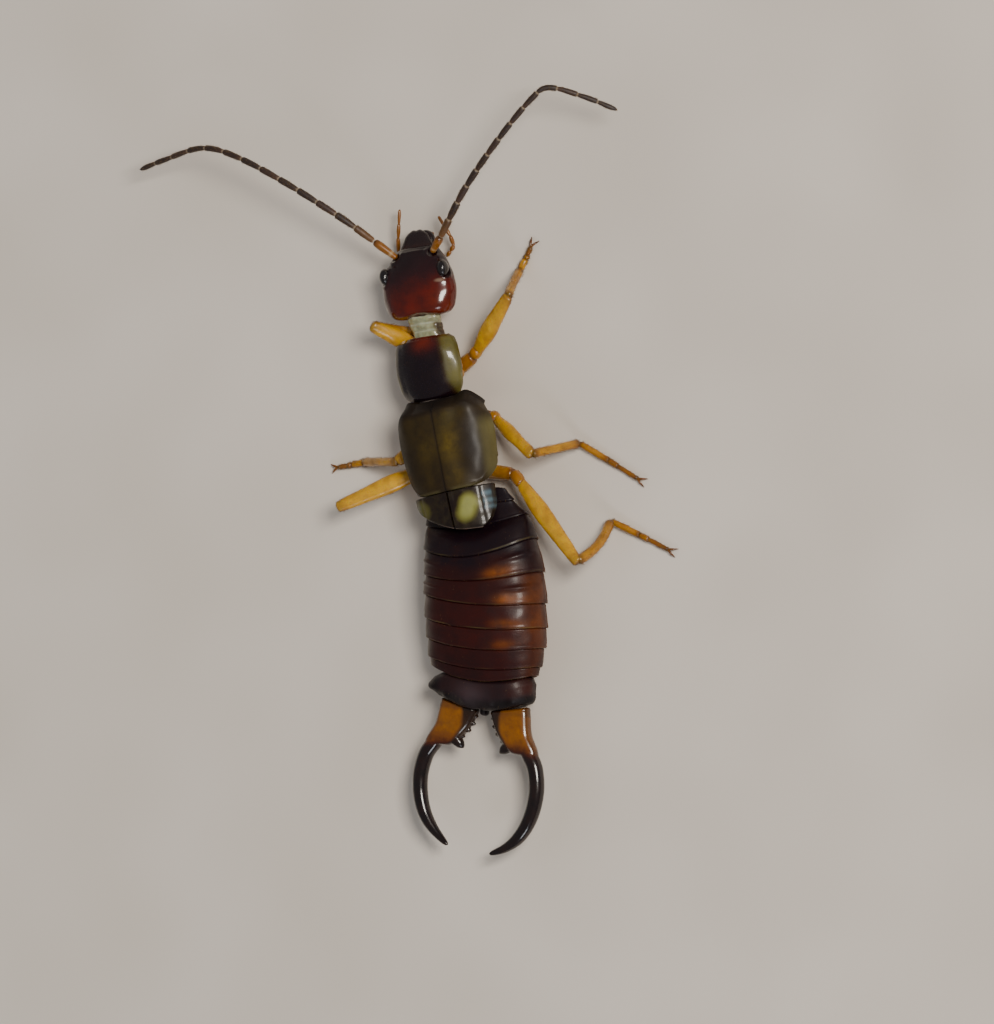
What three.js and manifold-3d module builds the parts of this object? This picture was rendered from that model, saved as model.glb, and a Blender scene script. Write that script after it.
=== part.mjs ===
// A life-size adult male earwig standing still, with its feelers spread and its pincers open.
// Millimetres. +Y runs towards the head, +X to the animal's right, and +Z up from the ground at 0.

import * as THREE from 'three';
import { mergeVertices } from 'three/addons/utils/BufferGeometryUtils.js';
import Module from 'manifold-3d';

const wasm = await Module();
wasm.setup();

// Sizes shared by the whole body
const GAP = 0.12;
const SHELL = 0.42;
const THINNEST_LIMB = 0.25;
const BODY_SIDES = 28;
const SMALL_SIDES = 16;
const LIMB_SIDES = 8;
const WELD = 1e-5;

// The middle of the animal's plan, from the point under the middle of its wing cases
const PLAN_MIDDLE = { x: -2.58, y: 1.25 };

// Where each rigid length of the body sits, and how far it turns to the animal's left, in degrees
const HEAD = { x: -1.96, y: 6.75, z: 1.2, turn: 8, back: -1.1, front: 1.1 };
const PROTHORAX = { x: -1.43, y: 4.19, z: 1.15, turn: 9, front: 0.62, back: -0.55 };
const THORAX = { x: -0.78, y: 1.9, z: 1.3, turn: 12, front: 1.6, back: -0.85 };
const TAIL = { x: 0.18, y: -5.08, z: 0.97, turn: -6, length: 0.75, halfWidth: 1.72, bow: 0.3 };

// Eyes, mouth and feelers, from the middle of the head
const EYE = { x: 1.03, y: 0.3, z: 0.25, across: 0.2, along: 0.26, tall: 0.24, socketGap: 0.06 };
const FEELER_ROOT = { x: 0.62, y: 0.85, z: 0.1, clear: 0.3 };
const LABRUM = { length: 0.3, halfWidth: 0.46, thick: 0.22, z: -0.2 };
const JAW_HEIGHT = -0.52;
const PALP_HEIGHT = -0.72;
const LABIUM_HEIGHT = -0.92;

// Shield over the front of the thorax
const PRONOTUM = {
  halfLength: 0.955, halfWidth: 1.05, top: 0.92, drop: 0.42, thick: SHELL, marginThick: 0.24,
};

// Wing cases, from the middle of the thorax
const WING_CASE = {
  front: 1.3, back: -1.32, halfWidth: 1.54, edge: 0.15, rise: 0.9, suture: 0.08, shoulder: 0.18,
};
const WING_TIP = { halfWidth: 1.29, archHalfWidth: 1.4, thick: 0.3, rise: 0.86, edge: 0.15 };

// How far the folded wing tips reach back, from the seam to their outer edge
const WING_TIP_LENGTHS = {
  left: [[0, 1.04], [0.5, 0.82], [1.0, 0.54], [1.3, 0.44]],
  right: [[0, 1.04], [0.35, 1.12], [1.0, 1.17], [1.3, 1.04]],
};
const ARCH = 2.3;

// Abdomen: where its plates end along the body, measured back from its front face
const ABDOMEN_FRONT = 0.72;
const PLATE_ENDS = [0.5, 1.16, 2.01, 2.72, 3.41, 4.12, 4.73, 5.31, 5.68];
const PLATE_STEP = 0.05;
const PLATE_LIP = 0.045;

// Pincers, from the middle of the last plate's hind edge; the right one is the larger
const PINCER = { z: -0.02, baseThick: 0.3, armRadius: 0.24, tipRadius: 0.09 };
const PINCER_SIZE = { left: { reach: 1.0, tip: 0.8 }, right: { reach: 1.03, tip: 0.6 } };

// Joints of each leg: root, hip, knee, ankle and toe
const SOLE = 0.22;
const LEGS = {
  fore_leg_right: [[-1.15, 4.15, 0.42], [-0.45, 4.6, 0.6], [1.17, 6.32, 1.6], [0.85, 7.1], [1.18, 7.8]],
  fore_leg_left: [[-1.65, 4.1, 0.42], [-2.2, 4.8, 0.55], [-3.25, 5.48, 1.72], [-2.25, 5.25], [-2.4, 6.2]],
  mid_leg_right: [[-0.6, 2.6, 0.42], [0.15, 2.85, 0.6], [1.95, 1.7, 1.6], [2.83, 2.02], [4.7, 0.98]],
  mid_leg_left: [[-1.1, 2.6, 0.42], [-1.55, 2.72, 0.48], [-2.62, 1.48, 1.3], [-4.3, 1.47], [-5.2, 1.32]],
  hind_leg_right: [[-0.2, 1.2, 0.42], [1.0, 1.12, 0.84], [3.5, -1.45, 1.7], [3.85, -0.26], [5.7, -1.1]],
  hind_leg_left: [[-0.9, 1.25, 0.42], [-1.85, 1.33, 0.68], [-4.48, 0.15, 1.5], [-3.3, 0.75], [-2.35, 1.15]],
};
const THIGH = { fore: 0.31, mid: 0.27, hind: 0.31 };

// Paths of the feelers past their first joint, which bows out and then droops to the tip
const FEELERS = {
  left: [[-3.3, 7.97, 1.5], [-4.15, 8.64, 1.9], [-5.84, 9.68, 2.2], [-7.49, 10.47, 2.2],
    [-8.75, 10.74, 2.0], [-10.2, 10.41, 1.6], [-11.19, 10.12, 1.3]],
  right: [[-1.1, 8.1, 1.5], [-0.09, 9.5, 1.9], [1.21, 10.94, 2.3], [2.35, 12.12, 2.4],
    [2.89, 12.45, 2.3], [3.84, 12.18, 1.9], [4.73, 11.79, 1.5]],
};
const FEELER_JOINTS = 13;

// Finishes
const paint = (color, roughness) => new THREE.MeshStandardMaterial({ color, roughness, metalness: 0 });
const FINISH = {
  head: () => paint(0x4a140c, 0.25),
  eye: () => paint(0x0c0808, 0.2),
  mouth: () => paint(0x2a1010, 0.35),
  amber: () => paint(0xb5791f, 0.4),
  feeler: () => paint(0x4a3428, 0.6),
  neck: () => paint(0x9a9a7c, 0.35),
  shield: () => paint(0x2e2010, 0.3),
  wingCase: () => paint(0x4a3818, 0.4),
  wingTip: () => paint(0x9a9038, 0.4),
  belly: () => paint(0x3a120c, 0.3),
  pincer: () => paint(0x7a3410, 0.25),
};

// A smooth value through a few stations that never overshoots them
function through(...stations) {
  const slopes = stations.slice(1).map(([x, y], i) => (y - stations[i][1]) / (x - stations[i][0]));
  const tangents = stations.map((_, i) => {
    const before = slopes[Math.max(i - 1, 0)];
    const after = slopes[Math.min(i, slopes.length - 1)];
    return before * after <= 0 ? 0 : (2 * before * after) / (before + after);
  });
  const value = (x) => {
    const at = THREE.MathUtils.clamp(x, stations[0][0], stations.at(-1)[0]);
    const k = Math.max(0, stations.findIndex(([end]) => end >= at) - 1);
    const [[start, low], [end, high]] = [stations[k], stations[k + 1]];
    const span = end - start;
    const t = (at - start) / span;
    const rise = low * (2 * t ** 3 - 3 * t ** 2 + 1) + high * (3 * t ** 2 - 2 * t ** 3);
    return rise + span * (tangents[k] * (t ** 3 - 2 * t ** 2 + t) + tangents[k + 1] * (t ** 3 - t ** 2));
  };
  return value;
}

function steps(from, to, count) {
  return Array.from({ length: count }, (_, i) => from + ((to - from) * i) / (count - 1));
}

const softPower = (value, power) => Math.sign(value) * Math.abs(value) ** power;

// A closed skin over rings of even length; each end is closed by strips across its ring
function loft(rings) {
  const sides = rings[0].length;
  const faces = [];
  for (let i = 0; i + 1 < rings.length; i++) {
    for (let j = 0; j < sides; j++) {
      const a = i * sides + j;
      const b = i * sides + ((j + 1) % sides);
      faces.push([a, b, a + sides], [b, b + sides, a + sides]);
    }
  }
  const end = (rings.length - 1) * sides;
  for (let k = 0; k < sides / 2 - 1; k++) {
    const quad = [k, k + 1, sides - 2 - k, sides - 1 - k];
    faces.push([quad[0], quad[2], quad[1]], [quad[0], quad[3], quad[2]]);
    faces.push([end + quad[0], end + quad[1], end + quad[2]], [end + quad[0], end + quad[2], end + quad[3]]);
  }
  return toSolid(rings.flat(), faces);
}

// Corners and faces as a solid whose faces point out
function toSolid(corners, faces) {
  let volume = 0;
  for (const [a, b, c] of faces) {
    volume += corners[a].dot(corners[b].clone().cross(corners[c]));
  }
  const order = volume < 0 ? faces.map(([a, b, c]) => [a, c, b]) : faces;
  const mesh = new wasm.Mesh({
    numProp: 3,
    vertProperties: new Float32Array(corners.flatMap((corner) => corner.toArray())),
    triVerts: new Uint32Array(order.flat()),
  });
  mesh.merge();
  return new wasm.Manifold(mesh);
}

// A three.js shape as a solid, after its split corners are welded
function solidFrom(shape) {
  const bare = shape.clone();
  bare.deleteAttribute('normal');
  bare.deleteAttribute('uv');
  const welded = mergeVertices(bare, WELD);
  return new wasm.Manifold(
    new wasm.Mesh({
      numProp: 3,
      vertProperties: new Float32Array(welded.attributes.position.array),
      triVerts: new Uint32Array(welded.index.array),
    }),
  );
}

const join = (solids) => solids.reduce((whole, solid) => whole.add(solid));

// The largest closed surface of a solid, as a three.js geometry
function toGeometry(solid) {
  const largest = solid.decompose().sort((a, b) => b.volume() - a.volume())[0];
  const { vertProperties, triVerts } = largest.getMesh();
  const geometry = new THREE.BufferGeometry();
  geometry.setAttribute('position', new THREE.BufferAttribute(vertProperties, 3));
  geometry.setIndex(new THREE.BufferAttribute(triVerts, 1));
  geometry.computeVertexNormals();
  return geometry;
}

// Everything below the ground, so that what reaches it is cut to a small flat
const underground = solidFrom(new THREE.BoxGeometry(60, 60, 4).translate(0, 0, -2));
const onGround = (solid) => solid.subtract(underground);

// A ring across the body: an oval that can be squarer than an ellipse, with its own depth below.
// Its heading turns it about the upright, and its bow brings its sides forward.
function crossRing({ x = 0, y, z = 0, halfWidth, up, down, ...shape }) {
  const { square = 2, lower = square, heading = 0, bow = 0, sides = BODY_SIDES } = shape;
  return Array.from({ length: sides }, (_, j) => {
    const angle = ((j + 0.5) / sides) * 2 * Math.PI;
    const power = 2 / (Math.sin(angle) > 0 ? square : lower);
    const out = softPower(Math.cos(angle), power);
    const across = halfWidth * out;
    const ahead = across * Math.sin(heading) + bow * out ** 2;
    const height = (Math.sin(angle) > 0 ? up : down) * softPower(Math.sin(angle), power);
    return new THREE.Vector3(x + across * Math.cos(heading), y + ahead, z + height);
  });
}

// A tube along points, with a radius at each point
function tube(points, radii, sides = LIMB_SIDES, flatness = 1) {
  const up = new THREE.Vector3(0, 0, 1);
  const rings = points.map((point, i) => {
    const before = points[Math.max(i - 1, 0)];
    const after = points[Math.min(i + 1, points.length - 1)];
    const along = after.clone().sub(before).normalize();
    const side = along.clone().cross(up).normalize();
    const top = side.clone().cross(along);
    return Array.from({ length: sides }, (_, j) => {
      const angle = ((j + 0.5) / sides) * 2 * Math.PI;
      return point
        .clone()
        .addScaledVector(side, radii[i] * Math.cos(angle))
        .addScaledVector(top, radii[i] * flatness * Math.sin(angle));
    });
  });
  return loft(rings);
}

// A straight length of limb with round ends: [fraction of the length, radius] at each station
function limb(from, to, stations, sides) {
  const points = stations.map(([fraction]) => from.clone().lerp(to, fraction));
  return tube(points, stations.map(([, radius]) => radius), sides);
}

const oval = (x, y, z, sides, rows) => new THREE.SphereGeometry(1, sides, rows).scale(x, y, z);

// Head capsule: broadest behind the eyes, narrower and lower towards the mouth
function makeHead() {
  const halfWidth = through(
    [-1.1, 0.66], [-1.0, 0.9], [-0.75, 1.1], [-0.3, 1.2], [0.1, 1.18], [0.45, 1.04], [0.75, 0.82], [1.1, 0.52],
  );
  const up = through([-1.1, 0.28], [-0.85, 0.44], [-0.3, 0.56], [0.2, 0.55], [0.65, 0.44], [1.1, 0.24]);
  const down = through([-1.1, 0.26], [-0.7, 0.45], [0.1, 0.5], [0.7, 0.38], [1.1, 0.2]);
  const sink = through([-1.1, 0], [0.2, 0], [0.75, -0.1], [1.1, -0.2]);
  const capsule = loft(
    steps(HEAD.back, HEAD.front, 15).map((y) =>
      crossRing({ y, z: sink(y), halfWidth: halfWidth(y), up: up(y), down: down(y), square: ARCH }),
    ),
  );
  const sockets = [-1, 1].map((side) =>
    solidFrom(
      oval(EYE.across + EYE.socketGap, EYE.along + EYE.socketGap, EYE.tall + EYE.socketGap, 12, 8).translate(
        side * EYE.x, EYE.y, EYE.z,
      ),
    ),
  );
  return capsule.subtract(join(sockets));
}

function makeEye(side) {
  return solidFrom(oval(EYE.across, EYE.along, EYE.tall, 12, 8).translate(side * EYE.x, EYE.y, EYE.z));
}

function makeLabrum() {
  const start = HEAD.front + GAP;
  const wide = LABRUM.halfWidth;
  const halfWidth = through([0, wide], [0.7, wide * 0.95], [1, wide * 0.55]);
  return loft(
    steps(0, 1, 5).map((t) =>
      crossRing({
        y: start + t * LABRUM.length,
        z: LABRUM.z - 0.06 * t,
        halfWidth: halfWidth(t),
        up: LABRUM.thick * (0.6 - 0.25 * t),
        down: LABRUM.thick * 0.5,
        square: 3,
        sides: SMALL_SIDES,
      }),
    ),
  );
}

const point = (x, y, z) => new THREE.Vector3(x, y, z);

// Jaws: short hooks that close under the upper lip
function makeMandible(side) {
  const bend = new THREE.CatmullRomCurve3([
    point(side * 0.38, HEAD.front + 0.1, JAW_HEIGHT),
    point(side * 0.42, HEAD.front + 0.22, JAW_HEIGHT - 0.02),
    point(side * 0.34, HEAD.front + 0.4, JAW_HEIGHT - 0.02),
    point(side * 0.13, HEAD.front + 0.5, JAW_HEIGHT),
  ]);
  return tube(bend.getPoints(5), [0.15, 0.17, 0.17, 0.15, 0.11, 0.05], 8, 0.9);
}

// Jaw feelers reach forward from under the cheek, in swollen joints
function makePalp(side, reach) {
  const path = new THREE.CatmullRomCurve3([
    point(side * 0.66, 0.72, PALP_HEIGHT - 0.06),
    point(side * 0.94, 1.05, PALP_HEIGHT - 0.04),
    point(side * 0.84, 1.1 + 0.35 * reach, PALP_HEIGHT + 0.06),
    point(side * (0.66 - 0.2 * (1 - reach)), 1.1 + 1.15 * reach, PALP_HEIGHT + 0.1),
  ]);
  const radii = [0.2, 0.23, 0.2, 0.23, 0.2, 0.23, 0.19, 0.21, 0.17, 0.08];
  return tube(path.getPoints(radii.length - 1), radii, 6);
}

// Lower lip: a plate under the head with two short feelers of its own
function makeLabium() {
  const plate = loft(
    steps(0.2, 1.05, 4).map((y) =>
      crossRing({
        y, z: LABIUM_HEIGHT, halfWidth: 0.27 - 0.1 * (y - 0.2), up: 0.14, down: 0.12,
        square: 3, sides: SMALL_SIDES,
      }),
    ),
  );
  const feelers = [-1, 1].map((side) =>
    limb(
      point(side * 0.1, 0.9, LABIUM_HEIGHT + 0.02), point(side * 0.2, 1.5, LABIUM_HEIGHT + 0.04),
      [[0, 0.14], [0.5, 0.17], [1, 0.07]], 6,
    ),
  );
  return join([plate, ...feelers]);
}

// The first joint of a feeler, from its socket on the brow
function feelerRoot(side) {
  const turn = THREE.MathUtils.degToRad(HEAD.turn);
  const x = side * FEELER_ROOT.x;
  return point(
    HEAD.x + x * Math.cos(turn) - FEELER_ROOT.y * Math.sin(turn),
    HEAD.y + x * Math.sin(turn) + FEELER_ROOT.y * Math.cos(turn),
    HEAD.z + FEELER_ROOT.z,
  );
}

function feelerPath(name) {
  return new THREE.CatmullRomCurve3(FEELERS[name].map((p) => point(...p)));
}

function makeScape(name, side) {
  const root = feelerRoot(side);
  const start = feelerPath(name).getPointAt(0);
  const clear = FEELER_ROOT.clear / root.distanceTo(start);
  return limb(root, start, [[clear, 0.19], [clear + 0.15, 0.25], [0.85, 0.26], [0.97, 0.2]], LIMB_SIDES);
}

// The rest of a feeler: slender joints, each thicker at its far end
function makeFlagellum(name) {
  const path = feelerPath(name);
  const length = path.getLength();
  const first = GAP / length;
  const points = [];
  const radii = [];
  for (let i = 0; i < FEELER_JOINTS; i++) {
    const from = first + ((1 - first) * i) / FEELER_JOINTS;
    const to = first + ((1 - first) * (i + 0.85)) / FEELER_JOINTS;
    const radius = THINNEST_LIMB * (1 - 0.35 * Math.max(0, i - 8) / (FEELER_JOINTS - 9));
    points.push(path.getPointAt(from), path.getPointAt(to));
    radii.push(radius * 0.88, radius);
  }
  points.push(path.getPointAt(1));
  radii.push(0.06);
  return tube(points, radii, 6);
}

// Neck: a soft stalk from the back of the head to the front of the thorax
function makeNeck() {
  const turn = THREE.MathUtils.degToRad(HEAD.turn);
  const from = point(
    HEAD.x - (HEAD.back - GAP) * Math.sin(turn), HEAD.y + (HEAD.back - GAP) * Math.cos(turn), HEAD.z - 0.02,
  );
  const to = point(
    PROTHORAX.x - (PROTHORAX.front + GAP) * Math.sin(turn),
    PROTHORAX.y + (PROTHORAX.front + GAP) * Math.cos(turn),
    PROTHORAX.z - 0.05,
  );
  return loft(
    steps(0, 1, 5).map((t) => {
      const at = from.clone().lerp(to, t);
      const pinch = 1 - 0.12 * Math.sin(Math.PI * t);
      return crossRing({
        x: at.x, y: at.y, z: at.z, halfWidth: 0.6 * pinch, up: 0.34 * pinch, down: 0.3 * pinch, heading: turn,
        sides: SMALL_SIDES,
      });
    }),
  );
}

// Front of the thorax below its shield, which carries the fore legs
function makeProthorax() {
  const { front, back } = PROTHORAX;
  const halfWidth = through([back, 0.66], [-0.25, 0.92], [0.25, 0.88], [front, 0.54]);
  return loft(
    steps(back, front, 8).map((y) =>
      crossRing({ y, halfWidth: halfWidth(y), up: 0.32, down: 0.4, square: 2.4, lower: 1.7 }),
    ),
  );
}

// A shield section: a crowned top and a parallel underside, thinner towards the margins
function shieldRing(y, halfWidth, { top, drop, thick, marginThick }) {
  const across = steps(-1, 1, BODY_SIDES / 2);
  const crown = (t) => top - drop * Math.abs(t) ** 2.2;
  const depth = (t) => THREE.MathUtils.lerp(thick, marginThick, Math.abs(t) ** 2);
  return [
    ...across.map((t) => point(t * halfWidth, y, crown(t))),
    ...across.reverse().map((t) => point(t * halfWidth * 0.98, y, crown(t) - depth(t))),
  ];
}

function makePronotum() {
  const { halfLength: end, halfWidth: wide } = PRONOTUM;
  const halfWidth = through(
    [-end, wide * 0.45], [-0.9, wide * 0.68], [-0.74, wide * 0.87], [-0.45, wide * 0.97], [0, wide],
    [0.6, wide * 0.95], [0.85, wide * 0.88], [end, wide * 0.74],
  );
  const stations = [-end, -0.92, -0.84, -0.7, -0.45, -0.1, 0.3, 0.65, 0.85, 0.92, end];
  return loft(stations.map((y) => shieldRing(y, halfWidth(y), PRONOTUM)));
}

// One wing case, or the room it needs when it is grown by a gap. Its shoulder reaches forward by the shield.
function makeWingCase(side, grow = 0) {
  const { front, back, halfWidth: wide, edge, rise, suture, shoulder } = WING_CASE;
  const halfWidth = through(
    [back, wide * 0.77], [-1.2, wide * 0.82], [-0.88, wide * 0.91], [-0.3, wide * 0.975], [0.4, wide],
    [0.95, wide * 0.975], [front, wide * 0.9],
  );
  const reach = through(
    [back, 0.5], [back + 0.08, 0.68], [back + 0.25, 0.86], [back + 0.6, 1], [1.0, 1], [front, 0.86],
  );
  const hindCorner = [0, 0.07, 0.18, 0.34, 0.6].map((ahead) => back + ahead);
  const rings = [...hindCorner, -0.3, 0.2, 0.6, 0.95, 1.14, front].map((y) => {
    const station = y === front ? y + grow : y === back ? y - grow : y;
    const angles = steps(0, (Math.PI / 2) * Math.min(1, reach(y) + grow), 9);
    const forward = THREE.MathUtils.smoothstep(y, 0.4, front);
    const arc = (width, height, angle) => {
      const out = softPower(Math.sin(angle), 2 / ARCH);
      return point(
        side * (suture / 2 - grow + (width - suture / 2 + grow) * out),
        station + forward * shoulder * THREE.MathUtils.smoothstep(out, 0.65, 0.95),
        edge - grow + (height + grow) * softPower(Math.cos(angle), 2 / ARCH),
      );
    };
    const outer = angles.map((angle) => arc(halfWidth(y) + grow, rise + grow, angle));
    const hollow = SHELL + grow;
    const inner = angles.reverse().map((angle) => arc(halfWidth(y) - hollow, rise - hollow, angle));
    return [...outer, ...inner];
  });
  return loft(rings);
}

// Middle and back of the thorax: keeled below, and cut clear of the wing cases above
function makeThorax() {
  const { front, back } = THORAX;
  const halfWidth = through([back, 1.25], [-0.5, 1.44], [0.0, 1.32], [0.5, 1.02], [1.15, 0.8], [front, 0.68]);
  const up = through([back, 0.4], [0.9, 0.34], [1.2, 0.1], [front, 0.08]);
  const down = through([back, 0.5], [-0.6, 0.45], [1.0, 0.45], [front, 0.36]);
  const body = loft(
    steps(back, front, 9).map((y) =>
      crossRing({ y, halfWidth: halfWidth(y), up: up(y), down: down(y), square: 2.4, lower: 1.5 }),
    ),
  );
  return body.subtract(join([makeWingCase(-1, GAP), makeWingCase(1, GAP)]));
}

// The folded hind wing's tip, which shows behind each wing case
function makeWingTip(side) {
  const { halfWidth: wide, archHalfWidth, thick, rise, edge } = WING_TIP;
  const length = through(...WING_TIP_LENGTHS[side < 0 ? 'left' : 'right']);
  const start = WING_CASE.back - GAP;
  const outer = through([0, wide], [0.5, wide * 0.98], [0.8, wide * 0.88], [1, wide * 0.66]);
  const thin = through([0, 1], [0.7, 0.8], [1, 0.4]);
  return loft(
    [0, 0.2, 0.4, 0.6, 0.75, 0.87, 0.95, 1].map((t) => {
      const across = steps(0.04, outer(t), 8);
      const crown = (x) => edge + rise * (1 - (x / archHalfWidth) ** ARCH) ** (1 / ARCH) - 0.06 * t;
      const y = (x) => start - t * length(x);
      return [
        ...across.map((x) => point(side * x, y(x), crown(x))),
        ...across.reverse().map((x) => point(side * x, y(x), crown(x) - thick * thin(t))),
      ];
    }),
  );
}

// The abdomen's middle line bends to the right and back. Its front is thin, over the roots of the hind legs,
// and the rest deepens until it rests on the ground.
const abdomenLine = through(
  [-5.1, 0.11], [-4.55, 0.13], [-4.0, 0.17], [-3.3, 0.19], [-2.6, 0.2], [-2.0, 0.17], [-1.27, 0.06],
  [-0.53, -0.06], [0.2, -0.22], [ABDOMEN_FRONT, -0.35],
);

function makeAbdomen() {
  const halfWidth = through(
    [0, 1.28], [0.5, 1.47], [1.25, 1.71], [2.0, 1.82], [2.7, 1.89], [3.4, 1.95], [4.1, 1.95], [4.8, 1.9],
    [5.3, 1.83], [5.7, 1.72],
  );
  const top = through(
    [0, 1.48], [0.5, 1.59], [1.15, 1.7], [1.5, 1.96], [2.1, 2.18], [3.0, 2.28], [4.2, 2.14], [5.7, 1.71],
  );
  const bottom = through(
    [0, 1.28], [0.5, 0.98], [1.0, 0.62], [1.7, 0.25], [2.9, -0.02], [4.5, -0.03], [5.7, 0.3],
  );
  const lean = through([0, 3], [1.2, 6], [2.0, 5], [2.7, 1.3], [3.4, -4.5], [5.3, -5.5], [5.7, TAIL.turn]);
  const bow = through([0, 0], [0.6, 0.04], [1.6, 0.36], [2.0, 0.39], [2.7, 0.24], [3.4, 0.17], [5.2, 0.2],
    [5.7, TAIL.bow + 0.03]);
  const ring = (back, swell) => {
    const y = ABDOMEN_FRONT - back;
    const middle = (top(back) + bottom(back)) / 2;
    const thin = Math.min(1, back / 0.6);
    return crossRing({
      x: abdomenLine(y), y, z: middle, halfWidth: halfWidth(back) + swell,
      up: top(back) - middle + swell * thin, down: middle - bottom(back) + swell * thin,
      square: 2.25, heading: THREE.MathUtils.degToRad(lean(back)), bow: bow(back),
    });
  };
  const rings = [ring(0, -0.2), ring(0.05, 0)];
  PLATE_ENDS.forEach((end, i) => {
    const start = i === 0 ? 0.05 : PLATE_ENDS[i - 1] + PLATE_LIP;
    if (i > 0) rings.push(ring(start, -PLATE_STEP));
    rings.push(ring((start + end) / 2, -PLATE_STEP / 3), ring(end, 0));
  });
  rings.push(ring(PLATE_ENDS.at(-1) + PLATE_LIP, -PLATE_STEP));
  return onGround(loft(rings));
}

// The last plate, flared at its front corners, holds the pincers
function makeLastTergite() {
  const { length, halfWidth: wide } = TAIL;
  const halfWidth = through([0, wide * 0.95], [0.15, wide], [0.4, wide * 0.94], [length, wide * 0.87]);
  const up = through([0, 0.73], [0.3, 0.71], [length, 0.5]);
  const down = through([0, 0.66], [0.3, 0.62], [length, 0.44]);
  return loft(
    [0, 0.08, 0.16, 0.3, 0.45, 0.6, 0.7, length].map((back) =>
      crossRing({
        y: -back, halfWidth: halfWidth(back), up: up(back), down: down(back), square: 2.5, bow: TAIL.bow,
      }),
    ),
  );
}

function makePygidium() {
  const start = -TAIL.length - GAP;
  return loft(
    [0, 0.15, 0.3].map((back) =>
      crossRing({
        y: start - back, z: 0.02, halfWidth: 0.12 - 0.2 * back * back, up: 0.2 - 0.2 * back, down: 0.2,
        square: 3, sides: LIMB_SIDES,
      }),
    ),
  );
}

// One pincer: a broad toothed base along the bowed edge of the plate, and an arm that bows out and back in
function makePincer(side, { reach, tip }) {
  const start = -TAIL.length;
  const place = (across, back, z = PINCER.z) => point(side * across, start - back * reach, z);
  const middle = through([0.1, 0.84], [0.5, 0.98], [0.9, 1.24], [1.14, 1.44]);
  const halfWidth = through([0.1, 0.62], [0.5, 0.58], [0.9, 0.54], [1.14, 0.44]);
  const { baseThick } = PINCER;
  const thick = through([0.1, baseThick], [0.7, baseThick * 0.95], [1.14, baseThick * 0.8]);
  const plateEdge = (across) => TAIL.bow * (across / TAIL.halfWidth) ** 2;
  const base = loft(
    [GAP, 0.25, 0.45, 0.65, 0.85, 1.0, 1.14].map((back) => {
      const fade = 1 - THREE.MathUtils.smoothstep(back, GAP, 0.6);
      const ring = crossRing({
        x: side * middle(back), y: start - back * reach, z: PINCER.z, halfWidth: halfWidth(back),
        up: thick(back), down: thick(back), square: 3, sides: SMALL_SIDES,
      });
      ring.forEach((corner) => corner.setY(corner.y + fade * plateEdge(corner.x)));
      return ring;
    }),
  );
  const bow = new THREE.CatmullRomCurve3([
    place(1.38, 0.85), place(1.62, 1.18), place(1.81, 1.5), place(1.92, 2.0), place(1.91, 2.45),
    place(1.81, 2.9), place(1.63, 3.3), place(1.38, 3.62), place(0.83 + tip / 3, 3.88), place(tip, 4.08, 0.04),
  ]);
  const turns = 18;
  const radii = steps(0, 1, turns + 1).map((t) =>
    THREE.MathUtils.lerp(PINCER.armRadius, PINCER.tipRadius, THREE.MathUtils.smoothstep(t, 0.62, 1)),
  );
  const arm = tube(bow.getPoints(turns), radii, 10);
  const teeth = [
    [0.85, 0.95, 0.58, 1.2, 0.15], [0.5, 0.22, 0.18, 0.24, 0.1], [0.5, 0.46, 0.2, 0.47, 0.1],
    [0.6, 0.62, 0.37, 0.66, 0.1], [0.75, 0.8, 0.53, 0.84, 0.1],
  ].map(([x0, back0, x1, back1, radius]) =>
    limb(place(x0, back0), place(x1, back1), [[0, radius * 1.4], [0.6, radius], [1, 0.03]], 6),
  );
  return join([base, arm, ...teeth]);
}

// One leg: a short hip, a stout thigh, a slim shin, a foot of three joints and two claws
function makeLeg(name) {
  const joints = LEGS[name].map(([x, y, z = SOLE]) => point(x, y, z));
  const [root, hip, knee, ankle, toe] = joints;
  const thigh = THIGH[name.split('_')[0]];
  const foot = (t) => ankle.clone().lerp(toe, t);
  const slim = THINNEST_LIMB;
  const reach = foot(1).sub(foot(0));
  const ahead = reach.clone().normalize();
  const aside = point(-ahead.y, ahead.x, 0);
  const claws = [-1, 1].map((side) => {
    const tip = toe.clone().addScaledVector(ahead, 0.3).addScaledVector(aside, side * 0.16);
    return limb(toe, tip.setZ(0.09), [[0, 0.12], [0.5, 0.1], [1, 0.03]], 6);
  });
  return onGround(
    join([
      limb(root, hip, [[-0.05, 0.12], [0.1, 0.25], [0.6, 0.24], [1.1, 0.2], [1.3, 0.1]], LIMB_SIDES),
      limb(
        hip, knee,
        [[-0.06, 0.14], [0.06, slim * 0.96], [0.35, thigh], [0.65, thigh * 0.92], [0.93, 0.22], [1.04, 0.12]],
        LIMB_SIDES,
      ),
      limb(knee, ankle, [[-0.06, 0.12], [0.06, 0.22], [0.5, slim], [0.93, slim * 0.95], [1.05, 0.14]], LIMB_SIDES),
      limb(foot(0), foot(0.52), [[-0.1, 0.14], [0.1, slim * 0.95], [0.85, slim], [1.05, 0.17]], LIMB_SIDES),
      limb(foot(0.5), foot(0.68), [[0, 0.17], [0.4, slim * 1.06], [0.9, slim * 1.08], [1.1, 0.17]], LIMB_SIDES),
      limb(foot(0.66), foot(1), [[0, 0.17], [0.2, slim * 0.92], [0.85, slim * 0.92], [1.08, 0.12]], LIMB_SIDES),
      ...claws,
    ]),
  );
}

// Groups that carry what turns together
const earwig = new THREE.Group();
earwig.position.set(-PLAN_MIDDLE.x, -PLAN_MIDDLE.y, 0);

function carrier({ x, y, z, turn }) {
  const group = new THREE.Group();
  group.position.set(x, y, z);
  group.rotation.z = THREE.MathUtils.degToRad(turn);
  earwig.add(group);
  return group;
}

function addPart(parent, name, solid, finish) {
  const mesh = new THREE.Mesh(toGeometry(solid), finish());
  mesh.name = name;
  parent.add(mesh);
}

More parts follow.
